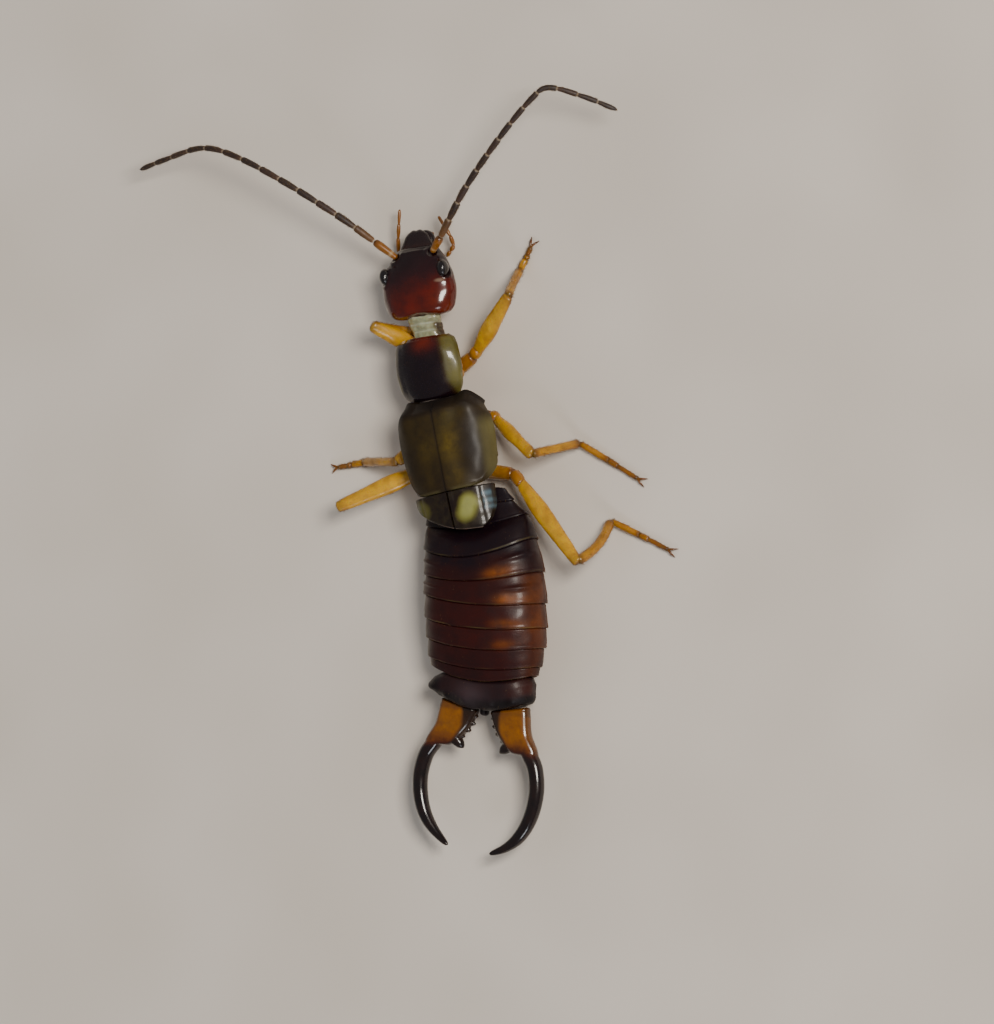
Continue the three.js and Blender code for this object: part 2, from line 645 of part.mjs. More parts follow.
const head = carrier(HEAD);
const prothorax = carrier(PROTHORAX);
const thorax = carrier(THORAX);
const tail = carrier(TAIL);

addPart(head, 'head', makeHead(), FINISH.head);
addPart(head, 'labrum', makeLabrum(), FINISH.mouth);
addPart(head, 'labium', makeLabium(), FINISH.amber);
addPart(earwig, 'neck', makeNeck(), FINISH.neck);
addPart(prothorax, 'prothorax', makeProthorax(), FINISH.amber);
addPart(prothorax, 'pronotum', makePronotum(), FINISH.shield);
addPart(thorax, 'thorax', makeThorax(), FINISH.belly);
addPart(earwig, 'abdomen', makeAbdomen(), FINISH.belly);
addPart(tail, 'last_tergite', makeLastTergite(), FINISH.belly);
addPart(tail, 'pygidium', makePygidium(), FINISH.belly);

for (const [name, side] of [['left', -1], ['right', 1]]) {
  addPart(head, `eye_${name}`, makeEye(side), FINISH.eye);
  addPart(head, `mandible_${name}`, makeMandible(side), FINISH.mouth);
  addPart(head, `palp_${name}`, makePalp(side, name === 'left' ? 1 : 0.75), FINISH.amber);
  addPart(earwig, `scape_${name}`, makeScape(name, side), FINISH.amber);
  addPart(earwig, `feeler_${name}`, makeFlagellum(name), FINISH.feeler);
  addPart(thorax, `wing_case_${name}`, makeWingCase(side), FINISH.wingCase);
  addPart(thorax, `wing_tip_${name}`, makeWingTip(side), FINISH.wingTip);
  addPart(tail, `pincer_${name}`, makePincer(side, PINCER_SIZE[name]), FINISH.pincer);
}

for (const name of Object.keys(LEGS)) {
  addPart(earwig, name, makeLeg(name), FINISH.amber);
}

export default earwig;
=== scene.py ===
"""A life-size adult male earwig, standing still on a pale floor and seen from above, a little to its right.

Lengths are millimetres in the animal's own frame until a mesh is made: +Y towards the head, +X to its right
and +Z up.
"""

import math

import bpy
import numpy as np
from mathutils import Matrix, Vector


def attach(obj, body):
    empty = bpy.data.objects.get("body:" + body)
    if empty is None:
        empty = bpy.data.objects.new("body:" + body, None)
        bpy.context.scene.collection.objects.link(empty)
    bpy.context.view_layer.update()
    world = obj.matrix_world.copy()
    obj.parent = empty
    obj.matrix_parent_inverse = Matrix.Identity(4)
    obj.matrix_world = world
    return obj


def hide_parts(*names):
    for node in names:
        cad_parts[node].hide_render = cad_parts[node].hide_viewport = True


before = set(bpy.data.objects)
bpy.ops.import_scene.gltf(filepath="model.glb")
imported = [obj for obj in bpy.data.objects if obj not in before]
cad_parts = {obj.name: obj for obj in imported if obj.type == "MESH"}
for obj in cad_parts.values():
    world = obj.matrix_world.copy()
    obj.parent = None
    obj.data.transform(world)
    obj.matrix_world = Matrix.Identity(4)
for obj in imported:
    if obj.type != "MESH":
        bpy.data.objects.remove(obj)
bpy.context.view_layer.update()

MM = 0.001
SIDES = (("left", -1), ("right", 1))

# The middle of the animal's plan, over the frame's origin, and the gap between neighbouring solids
PLAN_MIDDLE = np.array([-2.58, 1.25, 0.0])
GAP = 0.12

# Where each rigid length of the body sits, and how far it turns to the animal's left, in degrees
HEAD = {"at": (-1.96, 6.75, 1.2), "turn": 8}
PROTHORAX = {"at": (-1.43, 4.19, 1.15), "turn": 9}
THORAX = {"at": (-0.78, 1.9, 1.3), "turn": 12}
TAIL = {"at": (0.18, -5.08, 0.97), "turn": -6}

# Ends, half widths and heights of the parts, each in the frame of the length that carries it
HEAD_BACK, HEAD_FRONT = -1.1, 1.1
EYE = {"at": (1.03, 0.3, 0.25), "across": 0.2, "along": 0.26, "tall": 0.24}
LENS_SHARE = {"round": 0.84, "along": 0.96}
LENS_SUNK = 0.07
FEELER_ROOT = (0.62, 0.85, 0.1)
CHEST_BACK, CHEST_FRONT = -0.55, 0.62
SHIELD_END = 0.955
SHIELD_HALF_WIDTH = 1.04
TRUNK_BACK, TRUNK_FRONT = -0.85, 1.6
CASE_FRONT, CASE_BACK = 1.3, -1.32
CASE_SHOULDER = 0.18
CASE_CORNER = 0.75
CASE_HALF_WIDTH = 1.53
CASE_RISE = 0.88
CASE_LIP = 0.13
ARCH = 2.3
SHELL = 0.42
WING_TIP_LENGTH = 1.02
WING_TIP_HALF_WIDTH = 1.27
WING_ARCH_WIDTH = 1.4
ABDOMEN_FRONT = 0.72
PLATE_ENDS = (0.5, 1.16, 2.01, 2.72, 3.41, 4.12, 4.73, 5.31, 5.68)
# Amber patches of painted glow at the hind edges of four plates, right of the middle: end of the plate,
# place across as a share, and strength
PAINTED_GLOW_PATCHES = ((2.72, 0.5, 1.1), (3.41, 0.64, 1.1), (4.12, 0.6, 0.75), (4.73, 0.54, 0.5))
TAIL_LENGTH = 0.75
TAIL_HALF_WIDTH = 1.72
TAIL_BOW = 0.3

# How far each pincer reaches back, as a share of 4.1 mm, and how far from the middle its tip ends
PINCER_SIZE = {"left": (1.0, 0.8), "right": (1.03, 0.6)}
PINCER_LEVEL = -0.02

# Step of the grid that joins a pincer's root, arm and teeth into one surface
JOIN_STEP = 0.016

# Joints of each leg: root, hip, knee, ankle and toe
LEGS = {
    "fore_leg_right": ((-1.15, 4.15, 0.42), (-0.45, 4.6, 0.6), (1.17, 6.32, 1.6),
                       (0.85, 7.1, 0.2), (1.18, 7.8, 0.1)),
    "fore_leg_left": ((-1.65, 4.1, 0.42), (-2.2, 4.8, 0.55), (-3.25, 5.48, 1.72),
                      (-2.25, 5.25, 0.2), (-2.4, 6.2, 0.1)),
    "mid_leg_right": ((-0.6, 2.6, 0.42), (0.15, 2.85, 0.6), (1.95, 1.7, 1.6),
                      (2.83, 2.02, 0.2), (4.7, 0.98, 0.1)),
    "mid_leg_left": ((-1.1, 2.6, 0.42), (-1.55, 2.72, 0.48), (-2.62, 1.48, 1.3),
                     (-4.3, 1.47, 0.2), (-5.2, 1.32, 0.1)),
    "hind_leg_right": ((-0.2, 1.2, 0.42), (1.0, 1.12, 0.84), (3.5, -1.45, 1.7),
                       (3.85, -0.26, 0.2), (5.7, -1.1, 0.1)),
    "hind_leg_left": ((-0.9, 1.25, 0.42), (-1.85, 1.33, 0.68), (-4.48, 0.15, 1.5),
                      (-3.3, 0.75, 0.2), (-2.35, 1.15, 0.1)),
}

# Half widths of thigh and shin, and how far a shin bows out of its straight line
THIGH = {"fore": 0.27, "mid": 0.22, "hind": 0.27}
SHIN = {"fore": 0.14, "mid": 0.13, "hind": 0.15}
SHIN_BOW = {"hind_leg_right": (0.17, -0.1, 0.05)}

# Heights of the middle of a foot and the lowest middle of a claw above the ground
FOOT_LEVEL = 0.12
CLAW_LEVEL = 0.042

# Paths of the feelers past their first joint
FEELERS = {
    "left": ((-3.3, 7.97, 1.5), (-4.15, 8.64, 1.9), (-5.84, 9.68, 2.2), (-7.49, 10.47, 2.2),
             (-8.75, 10.74, 2.0), (-10.2, 10.41, 1.6), (-11.19, 10.12, 1.3)),
    "right": ((-1.1, 8.1, 1.5), (-0.09, 9.5, 1.9), (1.21, 10.94, 2.3), (2.35, 12.12, 2.4),
              (2.89, 12.45, 2.3), (3.84, 12.18, 1.9), (4.73, 11.79, 1.5)),
}
FEELER_JOINTS = 13
RINGS_PER_JOINT = 34


# Curves and surfaces

def through(*points):
    """A smooth curve through a few points that never overshoots them."""
    xs, ys = np.array(points, float).T
    slopes = np.diff(ys) / np.diff(xs)
    before = np.r_[slopes[0], slopes]
    after = np.r_[slopes, slopes[-1]]
    same = before * after > 0
    tangents = np.where(same, 2 * before * after / np.where(same, before + after, 1), 0)

    def value(x):
        x = np.clip(np.asarray(x, float), xs[0], xs[-1])
        k = np.clip(np.searchsorted(xs, x, "right") - 1, 0, len(xs) - 2)
        span = xs[k + 1] - xs[k]
        t = (x - xs[k]) / span
        rise = ys[k] * (2 * t**3 - 3 * t**2 + 1) + ys[k + 1] * (3 * t**2 - 2 * t**3)
        lean = tangents[k] * (t**3 - 2 * t**2 + t) + tangents[k + 1] * (t**3 - t**2)
        return rise + span * lean

    return value


def smooth(low, high, value):
    """0 below low, 1 above high, and a soft step between."""
    t = np.clip((np.asarray(value, float) - low) / (high - low), 0, 1)
    return t * t * (3 - 2 * t)


def hump(value, width):
    return np.exp(-((np.asarray(value, float) / width) ** 2))


def soft_power(value, power):
    return np.sign(value) * np.abs(value) ** power


def grain(points, size, seed):
    """An uneven field between about -1 and 1 with lumps of the given size, the same on every run."""
    draw = np.random.default_rng(seed)
    total = np.zeros(points.shape[:-1])
    for _ in range(7):
        wave = draw.normal(size=3)
        wave *= 2 * math.pi / (size * draw.uniform(1.2, 2.6) * np.linalg.norm(wave))
        total += np.sin(points @ wave + draw.uniform(0, 2 * math.pi))
    return total / 3.2


def round_ends(x, back, front):
    """A factor that closes a body roundly over the given lengths at its two ends."""
    first, last = x[0], x[-1]
    t = np.clip(np.minimum(np.abs(x - first) / back, np.abs(last - x) / front), 0, 1)
    return np.sqrt(1 - (1 - t) ** 2) * 0.985 + 0.015


def stations(first, last, count):
    """Stations from first to last, closer together at both ends."""
    t = np.linspace(0, 1, count)
    return first + (last - first) * (t - 0.75 * np.sin(2 * math.pi * t) / (2 * math.pi))


def carried(points, carrier):
    turn = math.radians(carrier["turn"])
    x = points[..., 0] * math.cos(turn) - points[..., 1] * math.sin(turn)
    y = points[..., 0] * math.sin(turn) + points[..., 1] * math.cos(turn)
    return np.stack([x, y, points[..., 2]], -1) + np.array(carrier["at"])


def ovals(y, half_width, up, down, square=2.0, lower=None, x=0.0, z=0.0, heading=0.0, bow=0.0, sides=160):
    """Rings across the body at each y: ovals, squarer than an ellipse, with their own depth below.

    The heading turns a ring about the upright, and the bow brings its sides forward.
    """
    y, half_width, up, down, x, z, heading, bow = (
        a[:, None] for a in np.broadcast_arrays(y, half_width, up, down, x, z, heading, bow)
    )
    angle = (np.arange(sides)[None] + 0.5) / sides * 2 * math.pi
    power = np.where(np.sin(angle) > 0, 2 / square, 2 / (lower or square))
    out = soft_power(np.cos(angle), power)
    across = half_width * out
    height = np.where(np.sin(angle) > 0, up, down) * soft_power(np.sin(angle), power)
    ahead = across * np.sin(heading) + bow * out**2
    return np.stack([x + across * np.cos(heading), y + ahead, z + height], -1)


def plates(y, top, bottom, half_width, count=90):
    """Rings of a thin plate: its top from left to right, then its underside back.

    The heights of top and bottom are functions of the place across, from -1 to 1, and of y.
    """
    t = np.linspace(-1, 1, count)
    t = (np.sign(t) * (1 - (1 - np.abs(t)) ** 1.25))[None]
    y = y[:, None] + 0 * t
    x = t * half_width[:, None]
    upper = np.stack([x, y, top(t, y)], -1)
    under = np.stack([x * 0.985, y, bottom(t, y)], -1)
    return np.concatenate([upper, under[:, ::-1]], 1)


def curve_points(points, count):
    """Even steps along a smooth curve through points."""
    points = np.array(points, float)
    ext = np.vstack([2 * points[0] - points[1], points, 2 * points[-1] - points[-2]])
    fine = []
    for i in range(len(points) - 1):
        p0, p1, p2, p3 = ext[i : i + 4]
        t = np.linspace(0, 1, 60, endpoint=i == len(points) - 2)[:, None]
        fine.append(0.5 * (2 * p1 + (p2 - p0) * t + (2 * p0 - 5 * p1 + 4 * p2 - p3) * t**2
                           + (3 * p1 - p0 - 3 * p2 + p3) * t**3))
    fine = np.vstack(fine)
    length = np.r_[0, np.cumsum(np.linalg.norm(np.diff(fine, axis=0), axis=1))]
    at = np.linspace(0, length[-1], count)
    return np.stack([np.interp(at, length, fine[:, k]) for k in range(3)], -1)


def tube(points, wide, thick=None, sides=32):
    """Rings along a path, with half widths across it and upright."""
    along = np.gradient(points, axis=0)
    along /= np.linalg.norm(along, axis=1)[:, None]
    side = np.cross(along, np.array([0.0, 0.0, 1.0]))
    side /= np.linalg.norm(side, axis=1)[:, None]
    top = np.cross(side, along)
    wide = np.broadcast_to(wide, len(points))
    thick = wide if thick is None else np.broadcast_to(thick, len(points))
    angle = (np.arange(sides) + 0.5) / sides * 2 * math.pi
    ring = side[:, None] * (wide[:, None] * np.cos(angle))[..., None]
    ring = ring + top[:, None] * (thick[:, None] * np.sin(angle))[..., None]
    return points[:, None] + ring


def limb(start, end, profile, flat=1.0, count=60, sides=32, bow=(0, 0, 0)):
    """A length of limb with round ends; profile gives its half width from 0 at the root to 1 at the tip."""
    start, end = np.array(start, float), np.array(end, float)
    t = stations(0, 1, count)
    path = start + (end - start) * t[:, None] + np.array(bow) * np.sin(math.pi * t)[:, None]
    length = np.linalg.norm(end - start)
    wide = profile(t) * round_ends(t * length, 0.09, 0.07)
    return tube(path, wide, wide * flat, sides)


def outward(grid):
    """Normals of a ring surface, pointing out."""
    along = np.gradient(grid, axis=0)
    around = np.roll(grid, -1, 1) - np.roll(grid, 1, 1)
    normal = np.cross(around, along)
    normal /= np.maximum(np.linalg.norm(normal, axis=2), 1e-12)[..., None]
    out = (normal * (grid - grid.mean(1, keepdims=True))).sum()
    return normal if out > 0 else -normal


def raised(grid, height):
    return grid + outward(grid) * height[..., None]


# Meshes

SHARP_EDGE = math.radians(55)
VALUES = ("mark", "tint", "pale")


class Skin:
    """A closed ring surface in the animal's frame. Every point has three values for its finish.

    The mark runs along a row of colours, the tint adds a warm colour and the pale value a light one.
    """

    def __init__(self, grid, mark=0.0, tint=0.0, pale=0.0):
        self.grid = grid
        self.values = [np.broadcast_to(value, grid.shape[:2]) for value in (mark, tint, pale)]

    def faces(self):
        rings, sides = self.grid.shape[:2]
        i, j = np.meshgrid(np.arange(rings - 1), np.arange(sides), indexing="ij")
        a = i * sides + j
        b = i * sides + (j + 1) % sides
        walls = np.stack([a, b, b + sides, a + sides], -1).reshape(-1, 4)
        k = np.arange(sides // 2 - 1)
        cap = np.stack([k, k + 1, sides - 2 - k, sides - 1 - k], -1)
        return np.vstack([walls, cap[:, ::-1], cap + (rings - 1) * sides])


def turned_out(points, quads):
    a, b, c, d = (points[quads[:, k]] for k in range(4))
    volume = np.einsum("ij,ij->i", a, np.cross(b, c) + np.cross(c, d)).sum()
    return quads if volume > 0 else quads[:, ::-1]


def joined(skins):
    """The points and faces of several skins as one array of each."""
    points, faces = [], []
    count = 0
    for skin in skins:
        flat = skin.grid.reshape(-1, 3)
        faces.append(turned_out(flat, skin.faces()) + count)
        points.append(flat)
        count += len(flat)
    return np.vstack(points), np.vstack(faces)


def to_scene(points):
    """Points of the animal's frame in the scene's metres."""
    return (points - PLAN_MIDDLE) * MM


def placed(name, data):
    """A new object in the scene for a mesh, a camera or a light."""
    obj = bpy.data.objects.new(name, data)
    bpy.context.scene.collection.objects.link(obj)
    return obj


def finished(mesh, name, values, finish, node=None):
    """Makes a mesh one object that rides on the body, with its values and finish, standing for its solid."""
    for label, value in zip(VALUES, values):
        layer = mesh.attributes.new(label, "FLOAT", "POINT")
        layer.data.foreach_set("value", np.asarray(value, np.float32))
    mesh.polygons.foreach_set("use_smooth", np.ones(len(mesh.polygons), bool))
    mesh.materials.clear()
    mesh.materials.append(finish)
    obj = placed(name, mesh)
    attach(obj, "root")
    if node:
        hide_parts(node)


def piece(name, skins, finish, node):
    """One object of closed skins."""
    points, faces = joined(skins)
    mesh = bpy.data.meshes.new(name)
    mesh.from_pydata(to_scene(points).tolist(), [], faces.tolist())
    mesh.set_sharp_from_angle(angle=SHARP_EDGE)
    values = [np.concatenate([skin.values[k].ravel() for skin in skins]) for k in range(3)]
    finished(mesh, name, values, finish, node)


def fused(name, grids, marks, finish, node):
    """Joins overlapping ring surfaces into one smooth closed object; marks gives its values by place."""
    points, faces = joined([Skin(grid) for grid in grids])
    mesh = bpy.data.meshes.new(name + "_raw")
    mesh.from_pydata(points.tolist(), [], faces.tolist())
    raw = placed(name + "_raw", mesh)
    remesh = raw.modifiers.new("join", "REMESH")
    remesh.mode = "VOXEL"
    remesh.voxel_size = JOIN_STEP
    soften = raw.modifiers.new("soften", "SMOOTH")
    soften.factor = 0.5
    soften.iterations = 6
    done = bpy.data.meshes.new_from_object(raw.evaluated_get(bpy.context.evaluated_depsgraph_get()))
    bpy.data.objects.remove(raw)
    bpy.data.meshes.remove(mesh)
    done.name = name
    places = np.empty(len(done.vertices) * 3)
    done.vertices.foreach_get("co", places)
    places = places.reshape(-1, 3)
    values = marks(places)
    done.vertices.foreach_set("co", to_scene(places).ravel())
    finished(done, name, values, finish, node)


def hairs(name, tufts, finish, radius):
    """Fine bristles as one mesh of tapered three-sided spikes.

    Each tuft has the roots, directions and lengths of its bristles, and their places on the UV map.
    """
    roots, ways, lengths, spots = (np.concatenate(part) for part in zip(*tufts))
    ways = ways / np.linalg.norm(ways, axis=1)[:, None]
    side = np.cross(ways, np.array([0.31, 0.17, 0.93]))
    side /= np.linalg.norm(side, axis=1)[:, None]
    other = np.cross(ways, side)
    rows = []
    for along, thick in ((-0.1, 1.0), (0.5, 0.75)):
        droop = np.array([0, 0, -0.06]) * along**2
        for k in range(3):
            angle = 2 * math.pi * k / 3
            offset = (side * math.cos(angle) + other * math.sin(angle)) * radius * thick
            rows.append(roots + (ways + droop) * (lengths * along)[:, None] + offset)
    rows.append(roots + (ways + np.array([0, 0, -0.12])) * lengths[:, None])
    points = np.stack(rows, 1)
    points[..., 2] = np.maximum(points[..., 2], 0.002)
    base = np.arange(len(roots))[:, None, None] * 7
    spike = np.array([[0, 1, 4], [0, 4, 3], [1, 2, 5], [1, 5, 4], [2, 0, 3], [2, 3, 5],
                      [3, 4, 6], [4, 5, 6], [5, 3, 6], [0, 2, 1]])
    faces = (base + spike[None]).reshape(-1, 3)
    mesh = bpy.data.meshes.new(name)
    mesh.from_pydata(to_scene(points.reshape(-1, 3)).tolist(), [], faces.tolist())
    bake_map = mesh.uv_layers.new(name="OFBake")
    corner = np.empty(len(mesh.loops), np.int32)
    mesh.loops.foreach_get("vertex_index", corner)
    spread = np.array([[0, 0], [1, 0], [0.5, 1], [0.1, 0.1], [0.9, 0.1], [0.5, 0.9], [0.5, 0.4]]) * 0.003
    bake_map.data.foreach_set("uv", (spots[corner // 7] + spread[corner % 7]).astype(np.float32).ravel())
    finished(mesh, name, (), finish)


def sown(grid, count, seed, length, lean, stand, where=None):
    """Bristles with roots drawn at random over a ring surface, which stand a little and lean along it."""
    draw = np.random.default_rng(seed)
    rings, sides = grid.shape[:2]
    a = draw.uniform(1, rings - 2, count)
    b = draw.uniform(0, sides, count)
    if where is not None:
        keep = draw.uniform(size=count) < where[a.astype(int), b.astype(int) % sides]
        a, b = a[keep], b[keep]
    i, j = a.astype(int), b.astype(int) % sides
    fraction = (a - i)[:, None]
    roots = grid[i, j] * (1 - fraction) + grid[i + 1, j] * fraction
    normal = outward(grid)[i, j]
    along = grid[i + 1, j] - grid[i, j]
    along /= np.maximum(np.linalg.norm(along, axis=1), 1e-9)[:, None]
    ways = normal * stand + along * lean + draw.normal(size=(len(a), 3)) * 0.16
    lengths = length * draw.uniform(0.6, 1.15, len(a))
    spots = np.stack([a / rings, b / sides], -1) * 0.99
    return roots, ways, lengths, spots


# Finishes

def linear(code):
    """An sRGB hex colour as linear red, green, blue and alpha."""
    parts = [int(code[i : i + 2], 16) / 255 for i in (1, 3, 5)]
    return [*(c / 12.92 if c <= 0.04045 else ((c + 0.055) / 1.055) ** 2.4 for c in parts), 1.0]


def add(tree, kind, inputs=None, stops=None, **settings):
    """Adds a node with its settings; an input is a value or another node's socket."""
    node = tree.nodes.new(kind)
    for key, value in settings.items():
        setattr(node, key, value)
    for key, value in (inputs or {}).items():
        if isinstance(value, bpy.types.NodeSocket):
            tree.links.new(value, node.inputs[key])
        else:
            node.inputs[key].default_value = value
    if stops:
        ramp = node.color_ramp
        while len(ramp.elements) < len(stops):
            ramp.elements.new(0.5)
        for element, (place, code) in zip(ramp.elements, stops):
            element.position = place
            element.color = linear(code)
    return node


def new_material(name):
    """An empty node material, its tree, and the place on the object that its patterns follow."""
    material = bpy.data.materials.new(name)
    material.use_nodes = True
    tree = material.node_tree
    tree.nodes.clear()
    return material, tree, add(tree, "ShaderNodeTexCoord").outputs["Object"]


def cuticle(name, stops, shade, tint, pale, mottle_mm, mottle, rough, grain_mm, depth_mm, coat=0.0,
            coat_rough=0.1, glow=0.0, gleam=0.5, pitted=False):
    """Insect cuticle: colours by mark, tint and pale value, lumps of shade, fine relief, varied gloss."""
    material, tree, place = new_material(name)
    lumps = add(tree, "ShaderNodeTexNoise", {
        "Vector": place, "Scale": 1 / (mottle_mm * MM), "Detail": 3.0, "Roughness": 0.6,
    }).outputs["Fac"]
    mark, warmth, light = (add(tree, "ShaderNodeAttribute", attribute_name=label).outputs["Fac"]
                           for label in VALUES)
    spread = add(tree, "ShaderNodeMath", {0: lumps, 1: 0.5}, operation="SUBTRACT").outputs[0]
    waver = add(tree, "ShaderNodeMath", {0: spread, 1: 0.2, 2: mark}, operation="MULTIPLY_ADD").outputs[0]
    along = add(tree, "ShaderNodeValToRGB", {"Fac": waver}, stops=stops).outputs["Color"]
    warm = add(tree, "ShaderNodeMix", {0: warmth, 6: along, 7: linear(tint)}, data_type="RGBA").outputs[2]
    patch = add(tree, "ShaderNodeMapRange",
                {"Value": lumps, "From Min": 0.4, "From Max": 0.68, "To Min": 0.0,
                 "To Max": mottle}).outputs[0]
    shaded = add(tree, "ShaderNodeMix", {0: patch, 6: warm, 7: linear(shade)}, data_type="RGBA").outputs[2]
    lit = add(tree, "ShaderNodeMix", {0: light, 6: shaded, 7: linear(pale)}, data_type="RGBA").outputs[2]
    fine = add(tree, "ShaderNodeTexNoise",
               {"Vector": place, "Scale": 1 / (grain_mm * MM), "Detail": 2.0}).outputs["Fac"]
    relief = fine
    if pitted:
        pits = add(tree, "ShaderNodeTexVoronoi", {"Vector": place, "Scale": 1 / (grain_mm * MM)})
        relief = add(tree, "ShaderNodeMath", {0: pits.outputs["Distance"], 1: fine},
                     operation="ADD").outputs[0]
    bump = add(tree, "ShaderNodeBump", {
        "Height": relief, "Strength": 0.7, "Distance": depth_mm * MM,
    }).outputs[0]
    gloss = add(tree, "ShaderNodeMapRange", {
        "Value": lumps, "From Min": 0.3, "From Max": 0.7, "To Min": rough[0], "To Max": rough[1],
    }).outputs[0]
    worn = add(tree, "ShaderNodeMath", {0: light, 1: 0.35, 2: gloss}, operation="MULTIPLY_ADD").outputs[0]
    shader = add(tree, "ShaderNodeBsdfPrincipled", {
        "Base Color": lit, "Roughness": worn, "IOR": 1.56, "Specular IOR Level": gleam, "Normal": bump,
        "Coat Weight": coat, "Coat Roughness": coat_rough, "Subsurface Weight": glow,
        "Subsurface Radius": (1.0, 0.45, 0.18), "Subsurface Scale": 0.25 * MM,
    })
    add(tree, "ShaderNodeOutputMaterial", {"Surface": shader.outputs[0]})
    return material


def tanned_head_cuticle():
    """Chitin tanned hard and smooth: deep red-brown behind, near-black at the mouth, with a wet gloss."""
    return cuticle(
        "tanned_head_cuticle",
        [(0.0, "#5e1c0a"), (0.18, "#5a1408"), (0.42, "#43100c"), (0.62, "#2a0d12"), (0.85, "#1c0b10"),
         (1.0, "#14080a")],
        shade="#22090c", tint="#0f0708", pale="#b9a58a", mottle_mm=0.45, mottle=0.45, rough=(0.16, 0.28),
        grain_mm=0.03, depth_mm=0.0014, coat=0.7, coat_rough=0.09, glow=0.05, gleam=0.16,
    )


def faceted_eye_lens():
    """Clear chitin lenses over black pigment, packed about 0.025 mm apart: black with a fine sparkle."""
    return cuticle(
        "faceted_eye_lens", [(0.0, "#0b0809"), (1.0, "#1b1016")], shade="#050404", tint="#1b1016",
        pale="#b9b2a4",
        mottle_mm=0.2, mottle=0.3, rough=(0.12, 0.2), grain_mm=0.026, depth_mm=0.005, coat=0.5, pitted=True,
    )


def tanned_mouth_cuticle():
    """Chitin at its hardest, on jaws and lip: brown-black, glossy, redder at the roots."""
    return cuticle(
        "tanned_mouth_cuticle", [(0.0, "#3a1410"), (0.6, "#241012"), (1.0, "#0f0809")], shade="#12080a",
        tint="#5a2a14", pale="#8a6a4a", mottle_mm=0.2, mottle=0.4, rough=(0.2, 0.34), grain_mm=0.03,
        depth_mm=0.0015, coat=0.25,
    )


def pale_limb_cuticle():
    """Thin, little-tanned chitin over clear flesh: amber that light passes into, brown where it folds."""
    return cuticle(
        "pale_limb_cuticle", [(0.0, "#d19a0a"), (0.3, "#bb840a"), (0.6, "#8c560c"), (1.0, "#341808")],
        shade="#8f5a08", tint="#dcae26", pale="#d8c896", mottle_mm=0.3, mottle=0.5, rough=(0.22, 0.4),
        grain_mm=0.03, depth_mm=0.002, coat=0.2, glow=0.25,
    )


def haired_feeler_cuticle():
    """Chitin under a fine down: dull dark brown joints with pale rings between."""
    return cuticle(
        "haired_feeler_cuticle", [(0.0, "#8a6a50"), (0.3, "#54382a"), (0.6, "#30201a"), (1.0, "#1e1410")],
        shade="#241814", tint="#8a5a20", pale="#c0ac90", mottle_mm=0.12, mottle=0.3, rough=(0.42, 0.6),
        grain_mm=0.02, depth_mm=0.003,
    )


def soft_neck_skin():
    """Untanned skin folded between plates: pale grey-green, wet-looking, with dark plates at its sides."""
    return cuticle(
        "soft_neck_skin", [(0.0, "#a3a684"), (0.5, "#6f6c4c"), (1.0, "#22150e")], shade="#5c5a40",
        tint="#6a4420",
        pale="#d5d8c4", mottle_mm=0.14, mottle=0.5, rough=(0.16, 0.3), grain_mm=0.04, depth_mm=0.006,
        coat=0.5,
        glow=0.2,
    )


def shield_cuticle():
    """Chitin tanned in the middle and left clear at the rims: near-black disc, olive-straw margins."""
    return cuticle(
        "shield_cuticle", [(0.0, "#140911"), (0.3, "#190b10"), (0.48, "#2e200e"), (0.68, "#565022"),
                           (1.0, "#726c3a")],
        shade="#1a0c0c", tint="#6a1f0a", pale="#b5a8a0", mottle_mm=0.3, mottle=0.35, rough=(0.2, 0.34),
        grain_mm=0.035, depth_mm=0.002, coat=0.55, coat_rough=0.09, glow=0.08, gleam=0.14,
    )


def leathery_wing_case():
    """Thin leathery chitin with a fine close grain: dark brown with a painted olive glow, silky rather than
    wet.
    """
    return cuticle(
        "leathery_wing_case", [(0.0, "#120a06"), (0.3, "#271c0c"), (0.6, "#3c3012"), (1.0, "#565024")],
        shade="#1b110a", tint="#665314", pale="#7a7448", mottle_mm=0.4, mottle=0.6, rough=(0.5, 0.64),
        grain_mm=0.03, depth_mm=0.003, coat=0.1, coat_rough=0.28, glow=0.03, gleam=0.2, pitted=True,
    )


def folded_wing_leather():
    """The leathery tip of the folded hind wing: a yellow-green spot in dark brown, with a satin shine."""
    return cuticle(
        "folded_wing_leather", [(0.0, "#140b0a"), (0.35, "#21150e"), (0.55, "#504b1c"), (0.78, "#7d7d3c"),
                                (1.0, "#a2a462")],
        # The blue-grey tint colour is a painted reflection on the wing tips
        shade="#3a3416", tint="#4f6672", pale="#9a857a", mottle_mm=0.2, mottle=0.25, rough=(0.34, 0.5),
        grain_mm=0.035, depth_mm=0.004, coat=0.2, coat_rough=0.12, glow=0.06, gleam=0.25, pitted=True,
    )


def tanned_body_cuticle():
    """Smooth tanned chitin, finely pitted: dark red-brown, near-black in front, amber partly as painted
    glow.
    """
    return cuticle(
        "tanned_body_cuticle", [(0.0, "#140a12"), (0.36, "#170a12"), (0.47, "#2e0c0a"), (0.75, "#360f0c"),
                                (1.0, "#280c0c")],
        shade="#1c0709", tint="#8a4a12", pale="#6f6434", mottle_mm=0.5, mottle=0.5, rough=(0.34, 0.5),
        grain_mm=0.045, depth_mm=0.003, coat=0.12, coat_rough=0.16, glow=0.05, gleam=0.2, pitted=True,
    )


def tanned_tail_cuticle():
    """The thickest plate of the body: grey-purple black with a broad oily shine."""
    return cuticle(
        "tanned_tail_cuticle", [(0.0, "#2c120e"), (0.4, "#221216"), (1.0, "#0a0607")], shade="#160c10",
        tint="#4a1a0a", pale="#5a4c52", mottle_mm=0.35, mottle=0.4, rough=(0.34, 0.5), grain_mm=0.05,
        depth_mm=0.003, gleam=0.24, pitted=True,
    )


